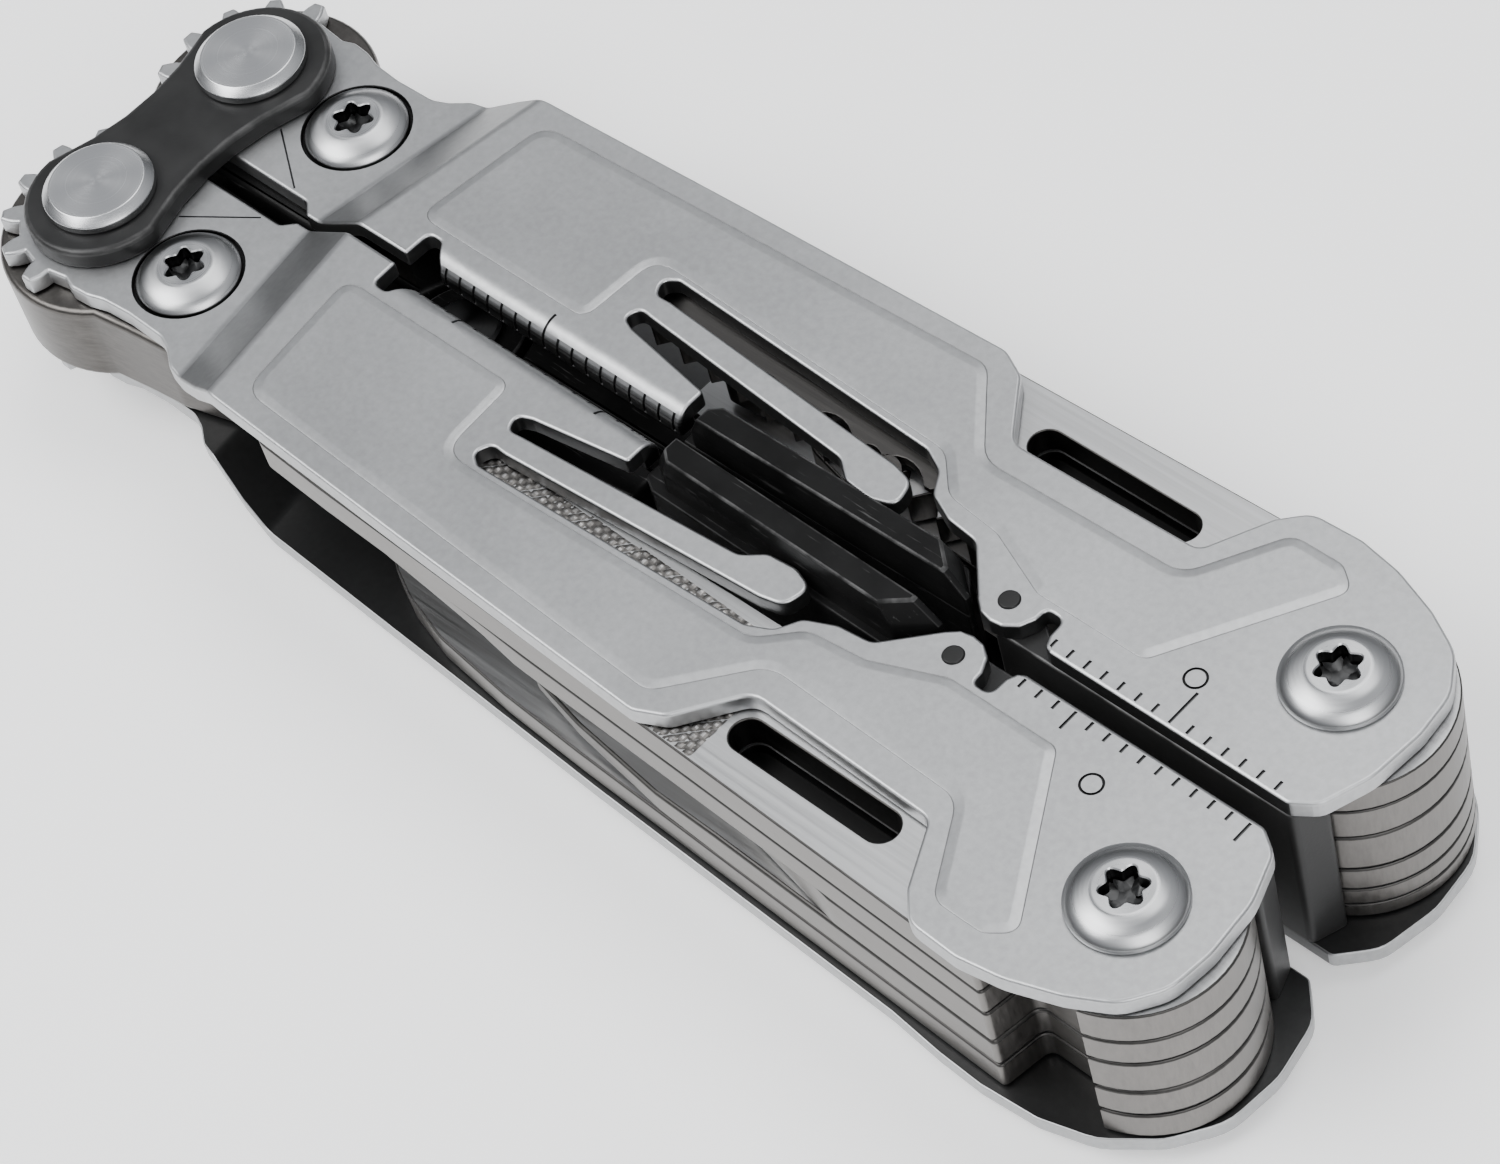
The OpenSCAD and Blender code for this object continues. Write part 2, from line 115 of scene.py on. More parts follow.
def rounded(points, radius=0.3, step=14):
    """Closed outline with its corners rounded; a third number on a point is its own radius."""
    result = []
    count = len(points)
    for i, point in enumerate(points):
        here = Vector(point[:2])
        r = point[2] if len(point) > 2 else radius
        back = Vector(points[i - 1][:2]) - here
        ahead = Vector(points[(i + 1) % count][:2]) - here
        turn = math.pi - back.angle(ahead)
        if r <= 0 or turn < math.radians(4):
            result.append(tuple(here))
            continue
        reach = min(r * math.tan(turn / 2), 0.47 * back.length, 0.47 * ahead.length)
        start = here + back.normalized() * reach
        end = here + ahead.normalized() * reach
        steps = max(2, int(math.degrees(turn) / step) + 1)
        for k in range(steps + 1):
            t = k / steps
            result.append(tuple(start * (1 - t) ** 2 + here * 2 * t * (1 - t) + end * t ** 2))
    return result


def inset(loop, distance):
    """Moves a closed outline towards its left-hand side."""
    result = []
    count = len(loop)
    for i in range(count):
        here = Vector(loop[i])
        before = (here - Vector(loop[i - 1]))
        after = (Vector(loop[(i + 1) % count]) - here)
        if before.length < 1e-7:
            before = after
        if after.length < 1e-7:
            after = before
        n1 = Vector((-before.y, before.x)).normalized()
        n2 = Vector((-after.y, after.x)).normalized()
        normal = n1 + n2
        if normal.length < 1e-6:
            normal = n1.copy()
        normal.normalize()
        stretch = min(1.6, 1 / max(0.3, normal.dot(n1)))
        result.append(tuple(here + normal * distance * stretch))
    return result


def area(loop):
    return sum(loop[i - 1][0] * loop[i][1] - loop[i][0] * loop[i - 1][1] for i in range(len(loop))) / 2


def leftward(loop, inside_left=True):
    """The outline with its inside on the left, or on the right for a hole."""
    if (area(loop) > 0) == inside_left:
        return list(loop)
    return list(reversed(loop))


def clean(loop, tolerance=0.015):
    result = []
    for point in loop:
        if not result or (Vector(point) - Vector(result[-1])).length > tolerance:
            result.append(point)
    if (Vector(result[0]) - Vector(result[-1])).length <= tolerance:
        result.pop()
    return result


# ---------- mesh building ----------

def round_edge(size, steps=3):
    """Inset and drop of a quarter-round edge, from the side wall to the flat."""
    return [(size * (1 - math.cos(math.pi / 2 * i / steps)), size * (1 - math.sin(math.pi / 2 * i / steps)))
            for i in range(steps + 1)]


def soft_normals(mesh, level, limit):
    """Corner normals that are smooth over rounded edges and leave every flat face flat."""
    faces = [(tuple(face.normal), face.area, level[face.index]) for face in mesh.polygons]
    around = [[] for _ in mesh.vertices]
    for face in mesh.polygons:
        for index in face.vertices:
            around[index].append(faces[face.index])
    normals = []
    for face in mesh.polygons:
        nx, ny, nz = face.normal
        for index in face.vertices:
            near = [one for one in around[index] if one[0][0] * nx + one[0][1] * ny + one[0][2] * nz > limit]
            flat = [one for one in near if one[2]] or near
            total = [sum(one[0][k] * one[1] for one in flat) for k in range(3)]
            length = math.sqrt(sum(value * value for value in total))
            normals.append([value / length for value in total] if length > 0 else [nx, ny, nz])
    return normals


# wear and painted shade carried by the faces: 1 is a rubbed edge, 2 is ground bright, below 0 is dark, which
# is painted shade
RUBBED, GROUND_BRIGHT, PAINTED_SHADE = 1.0, 2.0, -1.0
# engraved groove whose floor is coloured near black: painted shade in the groove
GROOVE = [(0, 0, 0), (0.035, -0.1, -0.85)]
# raised panel; the thin crease at its foot is coloured dark, a painted shade line
RAISED = [(0, 0, 0), (0.03, -0.02, -0.6), (0.06, 0, -0.4), (0.2, 0.014, 0), (0.34, 0.034, 0), (0.46, 0.05, 0),
          (0.58, 0.06, 0)]


class Piece:
    """A mesh drawn in working millimetres, then placed on a body of the frame."""

    def __init__(self, name):
        self.name = name
        self.bm = bmesh.new()
        self.wear_and_shade = self.bm.faces.layers.float.new("wear_and_shade_face")
        self.level = self.bm.faces.layers.int.new("level_face")

    def ring(self, loop, z):
        return [self.bm.verts.new((x, y, z)) for x, y in loop]

    def skirt(self, low, high, worn_and_shaded=0.0):
        count = len(low)
        for i in range(count):
            j = (i + 1) % count
            face = self.bm.faces.new((low[i], low[j], high[j], high[i]))
            face[self.wear_and_shade] = worn_and_shaded

    def fill(self, rings, worn_and_shaded=0.0):
        edges = []
        for ring in rings:
            count = len(ring)
            for i in range(count):
                pair = (ring[i], ring[(i + 1) % count])
                edges.append(self.bm.edges.get(pair) or self.bm.edges.new(pair))
        made = bmesh.ops.triangle_fill(self.bm, use_beauty=True, use_dissolve=False, edges=edges)
        for item in made["geom"]:
            if isinstance(item, bmesh.types.BMFace):
                item[self.wear_and_shade] = worn_and_shaded
                item[self.level] = 1

    def feature(self, loop, z, profile):
        """A raised or sunk area inside a flat face; returns the ring that bounds it."""
        loop = leftward(loop)
        rings = [self.ring(inset(loop, d) if d else loop, z + dz) for d, dz, worn_and_shaded in profile]
        for low, high, step in zip(rings, rings[1:], profile[1:]):
            self.skirt(low, high, step[2])
        self.fill([rings[-1]], min(0.0, profile[-1][2]))
        return rings[0]

    def slab(self, outer, z0, z1, holes=(), top=0.15, bottom=0.1, on_top=(), worn_and_shaded=RUBBED, over=0.0,
             under=0.0):
        """A flat plate with rounded edges, holes, and raised or sunk areas."""
        caps_low, caps_high = [], []
        # the walls of holes are coloured dark (-0.8): painted shade inside the holes
        loops = [(leftward(outer), 0.0)] + [(leftward(hole, False), -0.8) for hole in holes]
        for loop, wall in loops:
            rings = []
            flags = []
            for d, drop in reversed(round_edge(bottom)):
                rings.append(self.ring(inset(loop, d), z0 + drop))
                flags.append(worn_and_shaded)
            flags[-1] = wall
            for d, drop in round_edge(top):
                rings.append(self.ring(inset(loop, d), z1 - drop))
                flags.append(worn_and_shaded)
            for low, high, flag in zip(rings, rings[1:], flags):
                self.skirt(low, high, flag)
            caps_low.append(rings[0])
            caps_high.append(rings[-1])
        for loop, profile in on_top:
            caps_high.append(self.feature(loop, z1, profile))
        self.fill(caps_high, over)
        self.fill(caps_low, under)

    def lathe(self, centre, profile, count=64):
        """Solid of revolution about a vertical axis; the profile runs from the axis out and back."""
        rings = []
        for r, z in profile:
            if r < 1e-6:
                rings.append([self.bm.verts.new((centre[0], centre[1], z))])
            else:
                rings.append(self.ring(circle(centre, r, count), z))
        for low, high in zip(rings, rings[1:]):
            if len(low) == 1 or len(high) == 1:
                hub, rim = (low[0], high) if len(low) == 1 else (high[0], low)
                for i in range(count):
                    self.bm.faces.new((hub, rim[i], rim[(i + 1) % count]))
            else:
                self.skirt(low, high)

    def cut(self, points_and_normals):
        for point, normal in points_and_normals:
            geometry = list(self.bm.verts) + list(self.bm.edges) + list(self.bm.faces)
            bmesh.ops.bisect_plane(self.bm, geom=geometry, dist=1e-5, plane_co=point, plane_no=normal)

    def move(self, function):
        for vert in self.bm.verts:
            vert.co = function(vert.co)

    def build(self, material, body, node, lower=False, flip=False, sharp=38, extra=()):
        """Finishes the mesh, mirrors it where asked, and hands it to the frame."""
        bm = self.bm
        if lower:
            self.move(lambda co: Vector((co.x, -co.y, co.z)))
        if flip:
            self.move(lambda co: Vector((co.x, co.y, -co.z)))
        bmesh.ops.remove_doubles(bm, verts=bm.verts, dist=1e-4)
        bmesh.ops.dissolve_degenerate(bm, dist=1e-4, edges=bm.edges)
        bmesh.ops.recalc_face_normals(bm, faces=bm.faces)
        bm.transform(TO_FRAME)
        worn_and_shaded = [face[self.wear_and_shade] for face in bm.faces]
        level = [face[self.level] for face in bm.faces]
        mesh = bpy.data.meshes.new(self.name)
        bm.to_mesh(mesh)
        bm.free()
        mesh.shade_smooth()
        mesh.normals_split_custom_set(soft_normals(mesh, level, math.cos(math.radians(sharp))))
        attribute = mesh.attributes.new("wear_and_shade", "FLOAT", "CORNER")
        values = []
        for polygon, value in zip(mesh.polygons, worn_and_shaded):
            values.extend([value] * polygon.loop_total)
        attribute.data.foreach_set("value", values)
        for one in (material, *extra):
            mesh.materials.append(one)
        piece = bpy.data.objects.new(self.name, mesh)
        bpy.context.scene.collection.objects.link(piece)
        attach(piece, body)
        if node:
            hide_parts(node)
        return piece


# ---------- node materials ----------

class Nodes:
    """Short names for building a node tree."""

    def __init__(self, name):
        self.material = bpy.data.materials.new(name)
        self.material.use_nodes = True
        self.tree = self.material.node_tree
        self.shader = self.tree.nodes["Principled BSDF"]
        self.coords = self.tree.nodes.new("ShaderNodeTexCoord").outputs["Object"]

    def add(self, kind, inputs=(), **settings):
        node = self.tree.nodes.new(kind)
        for key, value in settings.items():
            setattr(node, key, value)
        for socket, value in dict(inputs).items():
            if hasattr(value, "links"):
                self.tree.links.new(value, node.inputs[socket])
            else:
                node.inputs[socket].default_value = value
        return node

    def noise(self, scale, detail=3.0, vector=None, rough=0.55):
        node = self.add("ShaderNodeTexNoise", {"Scale": scale, "Detail": detail, "Roughness": rough,
                                               "Vector": vector or self.coords})
        return node.outputs["Fac"]

    def stretched(self, factors):
        node = self.add("ShaderNodeVectorMath", {0: self.coords, 1: factors}, operation="MULTIPLY")
        return node.outputs["Vector"]

    def ramp(self, value, low, high, out_low=0.0, out_high=1.0):
        node = self.add("ShaderNodeMapRange", {"Value": value, "From Min": low, "From Max": high,
                                               "To Min": out_low, "To Max": out_high})
        return node.outputs["Result"]

    def mix(self, factor, colour_a, colour_b):
        node = self.add("ShaderNodeMix", data_type="RGBA")
        for index, value in ((0, factor), (6, colour_a), (7, colour_b)):
            if hasattr(value, "links"):
                self.tree.links.new(value, node.inputs[index])
            else:
                node.inputs[index].default_value = value
        return node.outputs[2]

    def math(self, operation, a, b=0.5):
        return self.add("ShaderNodeMath", {0: a, 1: b}, operation=operation).outputs[0]

    def bump(self, height, strength, distance, normal=None):
        inputs = {"Height": height, "Strength": strength, "Distance": distance}
        if normal is not None:
            inputs["Normal"] = normal
        return self.add("ShaderNodeBump", inputs).outputs["Normal"]

    def wear_and_shade(self, start=0.0, end=1.0):
        """How far the face is towards one of the worn states or towards painted shade, from 0 to 1."""
        value = self.add("ShaderNodeAttribute", attribute_name="wear_and_shade").outputs["Fac"]
        return self.ramp(value, start, end)

    def finish(self, **values):
        for key, value in values.items():
            name = key.replace("_", " ")
            socket = self.shader.inputs[name]
            if hasattr(value, "links"):
                self.tree.links.new(value, socket)
            else:
                socket.default_value = value
        return self.material


def grey(value, warm=0.0):
    return (value * (1 + warm), value, value * (1 - warm), 1)


def steel(value):
    return grey(value, -0.012)


def satin_steel(name, tone):
    """Bead-blasted stainless sheet: fine even grain, faint clouds, brighter rubbed edges and painted shade on
    faces flagged below 0.
    """
    n = Nodes(name)
    clouds = n.noise(90, 4)
    grain = n.noise(9000, 2)
    scuffs = n.noise(1, 3, n.stretched((500, 2600, 900)))
    mottle = n.math("ADD", n.math("MULTIPLY", clouds, 0.5), n.math("MULTIPLY", n.noise(2600, 3), 0.5))
    base = n.mix(n.ramp(mottle, 0.36, 0.64), steel(tone * 0.9), steel(tone * 1.1))
    base = n.mix(n.ramp(scuffs, 0.66, 0.82, 0, 0.25), base, steel(tone * 1.2))
    base = n.mix(n.math("MULTIPLY", n.wear_and_shade(), 0.45), base, steel(min(0.95, tone * 1.5)))
    # faces flagged below 0 turn near black: painted shade
    base = n.mix(n.wear_and_shade(0, PAINTED_SHADE), base, grey(0.02))
    rough = n.ramp(n.math("ADD", clouds, n.math("MULTIPLY", grain, 0.5)), 0.4, 1.1, 0.36, 0.46)
    normal = n.bump(grain, 0.12, 0.00002)
    return n.finish(Base_Color=base, Metallic=1.0, Roughness=rough, Normal=normal)


def turned_steel(name, tone, rough=0.24):
    """Lathe-turned steel: very fine rings about the piece's own axis."""
    n = Nodes(name)
    split = n.add("ShaderNodeSeparateXYZ", {0: n.coords})
    flat = n.add("ShaderNodeCombineXYZ", {0: split.outputs[0], 1: split.outputs[1]})
    radius = n.add("ShaderNodeVectorMath", {0: flat.outputs[0]}, operation="LENGTH").outputs["Value"]
    spun = n.add("ShaderNodeCombineXYZ", {0: radius, 2: split.outputs[2]})
    rings = n.noise(9000, 3, spun.outputs[0])
    base = n.mix(n.ramp(rings, 0.3, 0.7), steel(tone * 0.97), steel(tone * 1.03))
    base = n.mix(n.math("MULTIPLY", n.wear_and_shade(), 0.4), base, steel(0.9))
    # faces flagged below 0 turn near black: painted shade
    base = n.mix(n.wear_and_shade(0, PAINTED_SHADE), base, grey(0.015))
    tangent = n.add("ShaderNodeTangent", direction_type="RADIAL", axis="Z").outputs["Tangent"]
    normal = n.bump(rings, 0.03, 0.00001)
    spread = n.ramp(rings, 0.3, 0.7, rough - 0.02, rough + 0.04)
    return n.finish(Base_Color=base, Metallic=1.0, Roughness=spread, Normal=normal, Anisotropic=0.75,
                    Tangent=tangent)


def ground_steel(name, tone, along=(60, 5000, 900)):
    """Surface-ground tool steel with long straight scratches."""
    n = Nodes(name)
    lines = n.noise(1, 4, n.stretched(along), 0.7)
    clouds = n.noise(120, 3)
    base = n.mix(n.ramp(lines, 0.3, 0.7), grey(tone * 0.8, 0.05), grey(tone * 1.12, 0.05))
    base = n.mix(n.ramp(clouds, 0.45, 0.75, 0, 0.4), base, grey(tone * 0.9, 0.05))
    flat = n.math("MULTIPLY", n.wear_and_shade(), n.ramp(lines, 0.3, 0.7, 0.75, 1.0))
    base = n.mix(flat, base, grey(tone * 2.9, -0.01))
    # faces flagged below 0 turn near black: painted shade
    base = n.mix(n.wear_and_shade(0, PAINTED_SHADE), base, grey(0.02))
    normal = n.bump(lines, 0.3, 0.00002)
    rough = n.ramp(lines, 0.3, 0.7, 0.3, 0.44)
    return n.finish(Base_Color=base, Metallic=1.0, Roughness=rough, Normal=normal)


def black_oxide(name, tone=0.014, worn_tone=0.12):
    """Blackened steel: charcoal with a soft sheen, rubbed grey along its edges."""
    n = Nodes(name)
    clouds = n.noise(260, 4)
    grain = n.noise(7000, 2)
    base = n.mix(n.ramp(clouds, 0.3, 0.7), grey(tone * 0.8), grey(tone * 1.5))
    rubbed = n.math("MULTIPLY", n.wear_and_shade(), n.ramp(n.noise(700, 4), 0.38, 0.62, 0.1, 0.8))
    base = n.mix(rubbed, base, grey(worn_tone))
    normal = n.bump(grain, 0.2, 0.00002)
    rough = n.ramp(clouds, 0.3, 0.7, 0.34, 0.46)
    return n.finish(Base_Color=base, Metallic=0.3, Roughness=rough, Normal=normal, Specular_IOR_Level=0.3)


def jaw_steel(name):
    """Blackened jaw with worn scratches; faces marked as ground are bright."""
    n = Nodes(name)
    bright_part = n.wear_and_shade(RUBBED, GROUND_BRIGHT)
    lines = n.noise(1, 4, n.stretched((900, 900, 5000)), 0.7)
    clouds = n.noise(260, 4)
    bright = n.mix(n.ramp(lines, 0.3, 0.7), grey(0.07, 0.06), grey(0.105, 0.06))
    black = n.mix(n.ramp(clouds, 0.3, 0.7), grey(0.004), grey(0.01))
    rubbed = n.math("MULTIPLY", n.wear_and_shade(), n.ramp(n.noise(700, 4), 0.4, 0.64, 0.1, 0.9))
    scratches = n.ramp(n.noise(1, 3, n.stretched((350, 6000, 3000))), 0.64, 0.72, 0, 0.5)
    black = n.mix(n.math("MAXIMUM", rubbed, scratches), black, grey(0.09))
    base = n.mix(bright_part, black, bright)
    normal = n.bump(lines, 0.25, 0.00002)
    metal = n.ramp(bright_part, 0, 1, 0.15, 1.0)
    return n.finish(Base_Color=base, Metallic=metal, Roughness=0.34, Normal=normal, Specular_IOR_Level=0.1)


SATIN = satin_steel("satin_steel", 0.4)
TURNED = turned_steel("turned_steel", 0.5)
SCREW = turned_steel("screw_steel", 0.42, 0.28)
GROUND = ground_steel("ground_steel", 0.17)
BLACK = black_oxide("black_oxide", 0.014, 0.09)
PIN = turned_steel("pin_steel", 0.05, 0.35)
LINK_BLACK = black_oxide("link_black", 0.016, 0.05)
JAW = jaw_steel("jaw_steel")


# ---------- handle plates ----------

def inv(angle):
    return math.tan(angle) - angle


def half_tooth(radius):
    """Half the angle that a gear tooth takes at this radius, in degrees."""
    pressure = math.acos(min(1, GEAR_BASE / radius))
    return 90 / TEETH - 0.8 + math.degrees(inv(math.radians(25)) - inv(pressure))


def gear_outline(teeth):
    """Toothed stretch around the axle, from the outer side round to the inner side."""
    points = []
    for centre in teeth:
        for side in (-1, 1):
            radii = [(GEAR_ROOT, 0.2), (GEAR_BASE, 0), (5.15, 0), (AXLE_Y, 0), (GEAR_TIP - 0.12, 0.1),
                     (GEAR_TIP, 0.12)]
            for radius, corner in (radii if side < 0 else reversed(radii)):
                angle = math.radians(centre + side * half_tooth(radius))
                points.append((radius * math.cos(angle), AXLE_Y + radius * math.sin(angle), corner))
    return points


def gear_teeth(lower):
    pitch = 360 / TEETH
    first, count = (270, 8) if lower else (270 - pitch / 2, 7)
    return [first - i * pitch for i in reversed(range(count))]


NECK_INNER = [(1.15, 0.75, 0.2), (2.4, 0.95, 0.3), (8.6, 0.95, 0.5), (9.3, 0.3, 0.3), (10.7, 0.3, 0.5),
              (17.7, 0.35, 0.15)]
NECK_OUTER = [(16.4, 11.75, 2.5), (14.2, 11.5, 2), (12.4, 11.1, 1.5), (10.9, 10.75, 1), (9.9, 10.05, 1.2),
              (9, 9.7, 1.2), (6.4, 9.65, 2), (4.6, 9.8, 1.5), (3.6, 10.1, 1), (2.5, 10.2, 0.6),
              (1.75, 9.95, 0.25)]
BEND_R = 1.05
BEND_Y = RULER_Y + BEND_R
WALL_DROP = 0.55
STRIP_X = (18.66, 36.5)
FLAP_Y = BEND_Y - BEND_R * math.pi / 2 - WALL_DROP
FAR_NOTCH = [(17.75, 1.95, 0.42), (18.65, 1.95, 0.42), (19.45, 0.7, 0.3), (19.5, FLAP_Y, 0.2)]
HOOK = [(55.35, 1.15, 0.3), (55.95, 0.65, 0.3), (56.65, 0.5, 0.4), (57.35, 0.6, 0.3), (58.0, 1.05, 0.35),
        (58.36, 1.8, 0.3), (58.4, 2.5, 0.48), (59.4, 2.5, 0.48), (59.42, 1.5, 0.4), (59.65, 0.95, 0.3),
        (60.05, SLIT_Y, 0.3)]
TOP_OUTER = [(73.8, SLIT_Y, 0.6), (75, 1.55, 1.2), (75.9, 4, 3), (76.15, 7, 3), (75.9, 9.4, 2.5),
             (74.6, 11.3, 2.5), (72.4, 12.45, 3), (69.8, 13.35, 4), (67.4, 13.75, 2), (64.6, 13.65, 1.4),
             (63.4, 12.4, 1), (61.7, 9.1, 0.8), (50.7, 8.85, 1.2), (48.3, 12.1, 1), (46.7, 12.85, 1.2),
             (30, 12.3, 9)]
BOTTOM_OUTER = [(75, SLIT_Y, 0.5), (76.6, 2.4, 2), (77.2, 5.5, 3), (76.9, 8.6, 3), (75.2, 11, 2.5),
                (72.8, 12.8, 3), (70, 13.6, 2), (66.8, 13.85, 2), (64.2, 13.75, 2), (61, 13.45, 2),
                (41, 12.85, 9), (30, 12.35, 5)]
WINDOW = [(36.4, FLAP_Y, 0.12), (36.4, 2.6, 0.25), (30.7, 3.45, 0.3), (29.9, 3.75, 0.5), (30.2, 4.55, 0.45),
          (31.1, 4.45, 0.3), (44.6, 3.45, 1), (45.7, 2.6, 0.8), (47.4, 2.45, 0.9), (48.75, 2.9, 0.9),
          (48.4, 4.4, 0.9), (47, 4.7, 1), (31.1, 5.75, 0.3), (30.2, 5.7, 0.5), (29.8, 6.5, 0.55),
          (30.5, 6.95, 0.4), (47.6, 6.2, 0.8), (48.9, 5.6, 0.9), (49.6, 4.4, 0.9), (51.2, 3.7, 1),
          (53.1, 3.5, 0.8)]
PANEL = [(16.4, 2.5, 1), (28.3, 2.5, 0.9), (28.6, 7.3, 1.8), (31.2, 7.25, 1.6), (48.4, 6.6, 1.6),
         (50.3, 4.75, 1.4), (53.6, 4.4, 1.4), (57.4, 2.9, 1.2), (63.8, 2.9, 0.8), (68.9, 11.2, 1),
         (67.6, 12.15, 1), (64.7, 12.15, 1.2), (62, 7.6, 1.6), (50.3, 7.3, 1.8), (46.6, 11.65, 1.4),
         (17.4, 10.5, 1.5)]
FOLD_LEAN = math.radians(9)
FOLD_A, FOLD_B = 10.1, 13.9
FOLD_SOFT = 0.3
EDGE = 0.18


def plate_outline(outer, lower):
    """Outline of a flat plate blank, once round against the clock."""
    points = gear_outline(gear_teeth(lower)) + NECK_INNER + FAR_NOTCH + WINDOW + HOOK + outer + NECK_OUTER
    return clean(rounded(points))


def along_fold(co):
    """Distance along the handle, measured square to the slanted fold lines."""
    return co.x * math.cos(FOLD_LEAN) - co.y * math.sin(FOLD_LEAN)


def soft_ramp(u):
    if u <= -FOLD_SOFT:
        return 0.0
    if u >= FOLD_SOFT:
        return u
    return (u + FOLD_SOFT) ** 2 / (4 * FOLD_SOFT)


def bend_strip(co):
    """Bends the ruler strip over its radius into a short upright wall."""
    depth = HALF_Z - co.z
    reach = BEND_Y - co.y
    turned = min(reach, BEND_R * math.pi / 2)
    angle = turned / BEND_R
    radius = BEND_R - depth
    z = HALF_Z - BEND_R + radius * math.cos(angle) - (reach - turned)
    return Vector((co.x, BEND_Y - radius * math.sin(angle), z))


def fold_plate(co):
    """Steps the head down and bends the ruler strip."""
    if STRIP_X[0] - 0.02 < co.x < STRIP_X[1] and co.y < BEND_Y:
        return bend_strip(co)
    s = along_fold(co)
    rise = (soft_ramp(s - FOLD_A) - soft_ramp(s - FOLD_B)) / (FOLD_B - FOLD_A)
    return Vector((co.x, co.y, co.z - STEP_H * (1 - min(1, rise))))


def fold_cuts():
    normal = Vector((math.cos(FOLD_LEAN), -math.sin(FOLD_LEAN), 0))
    cuts = []
    for fold in (FOLD_A, FOLD_B):
        for k in range(-3, 4):
            cuts.append((normal * (fold + FOLD_SOFT * k / 3), normal))
    for k in range(9):
        cuts.append(((0, BEND_Y - BEND_R * math.pi / 16 * k, 0), (0, 1, 0)))
    return cuts


def bar(start, end, width):
    a, b = Vector(start), Vector(end)
    side = Vector((-(b - a).y, (b - a).x)).normalized() * width / 2
    return [tuple(a - side), tuple(b - side), tuple(b + side), tuple(a + side)]


def ruler_marks(lower):
    """Millimetre marks, the stamped ring and the thin line on the head, all as engraved grooves with painted
    shade on their floors.
    """
    marks = []
    for i in range(17):
        top = 0.92
        if i % 10 == (3 if lower else 7):
            top = 1.45 if lower else 1.9
        x = 19.95 + i
        marks.append((bar((x, -0.22), (x, top), 0.16), GROOVE))
    first = 60.2 if lower else 59.9
    for i in range(14):
        top = 1.5
        if i % 10 == (3 if lower else 7):
            top = 2.1 if lower else 2.95
        marks.append((bar((first + i, 0.97), (first + i, top), 0.16), GROOVE))
    ring = circle((66.3, 3.5), 0.6, 28)
    # the ring's channel is coloured dark all round: painted shade in the groove
    channel = [(0, 0, 0), (0.03, -0.08, PAINTED_SHADE), (0.1, -0.08, PAINTED_SHADE), (0.13, 0.0, PAINTED_SHADE), (0.14, 0.0, 0)]
    marks.append((ring, channel))
    marks.append((bar((3.7, 3.65), (7.45, 1.2), 0.1), GROOVE))
    return marks


def shade_plate(piece, face):
    """Painted shade on the ruler strip under its bend, on the upright faces along the slots, and a little on
    the slope of the step.
    """
    centre = face.calc_center_median()
    drop = HALF_Z - centre.z
    upright = abs(face.normal.z) < 0.3
    if STRIP_X[0] < centre.x < STRIP_X[1] and centre.y < BEND_Y and drop > 0.3:
        face[piece.wear_and_shade] = min(face[piece.wear_and_shade], -min(0.95, (drop - 0.25) * 1.6))
    elif upright and 7.5 < centre.x < 73.8 and centre.y < 7.2:
        face[piece.wear_and_shade] = -0.7
    elif abs(face.normal.x) > 0.4 and not upright and FOLD_A - 1 < along_fold(centre) < FOLD_B + 1:
        face[piece.wear_and_shade] = min(face[piece.wear_and_shade], -0.28)


def handle_plate(name, body, top, lower):
    piece = Piece(name + "_looks")
    recess = circle(JAW_PIN.xy, SCREW_R + 0.2, 56)
    # the recess round the jaw screw is coloured dark: a painted shade ring
    features = [(rounded(PANEL), RAISED), (recess, [(0, 0, 0), (0.04, -0.04, PAINTED_SHADE), (0.05, -0.3, PAINTED_SHADE)])]
    if top:
        features += ruler_marks(lower)
    outer = TOP_OUTER if top else BOTTOM_OUTER
    # the underside of every plate is coloured near black (under=-0.9): painted shade on the inner faces
    piece.slab(plate_outline(outer, lower), IN_Z, HALF_Z, top=EDGE, bottom=0.08, on_top=features, worn_and_shaded=0.35,
               under=-0.9)
    piece.cut(fold_cuts())
    piece.move(fold_plate)
    piece.bm.normal_update()
    for face in piece.bm.faces:
        shade_plate(piece, face)
    return piece.build(SATIN, body, name, lower=lower, flip=not top, sharp=42)


# ---------- link ----------

def link_plate(name, flip):
    end_r, waist_r, waist_x = LINK_HIGH.y - AXLE_Y, 14, 17.1
    spread = math.degrees(math.asin(AXLE_Y / waist_r))
    outline = arc((0, AXLE_Y), end_r, 2, 178)
    outline += arc((-waist_x, 0), waist_r, spread - 2, 2 - spread)
    outline += arc((0, -AXLE_Y), end_r, 182, 358)
    outline += arc((waist_x, 0), waist_r, 180 + spread - 2, 182 - spread)
    piece = Piece(name + "_looks")
    piece.slab(clean(outline), LINK_LOW.z, LINK_HIGH.z, top=0.3, bottom=0.1)
    return piece.build(LINK_BLACK, "link", name, flip=flip)


def axial_piece(name, body, node, centre, material, draw, flip=False, lower=False):
    """A turned piece whose object stands on its own axis, so its rings run round it."""
    piece = Piece(name)
    draw(piece)
    made = piece.build(material, body, node, flip=flip, lower=lower)
    y = -centre[1] if lower else centre[1]
    anchor = TO_FRAME @ Vector((centre[0], y, 0))
    made.data.transform(Matrix.Translation(-anchor))
    made.matrix_world = Matrix.Translation(anchor)
    return made


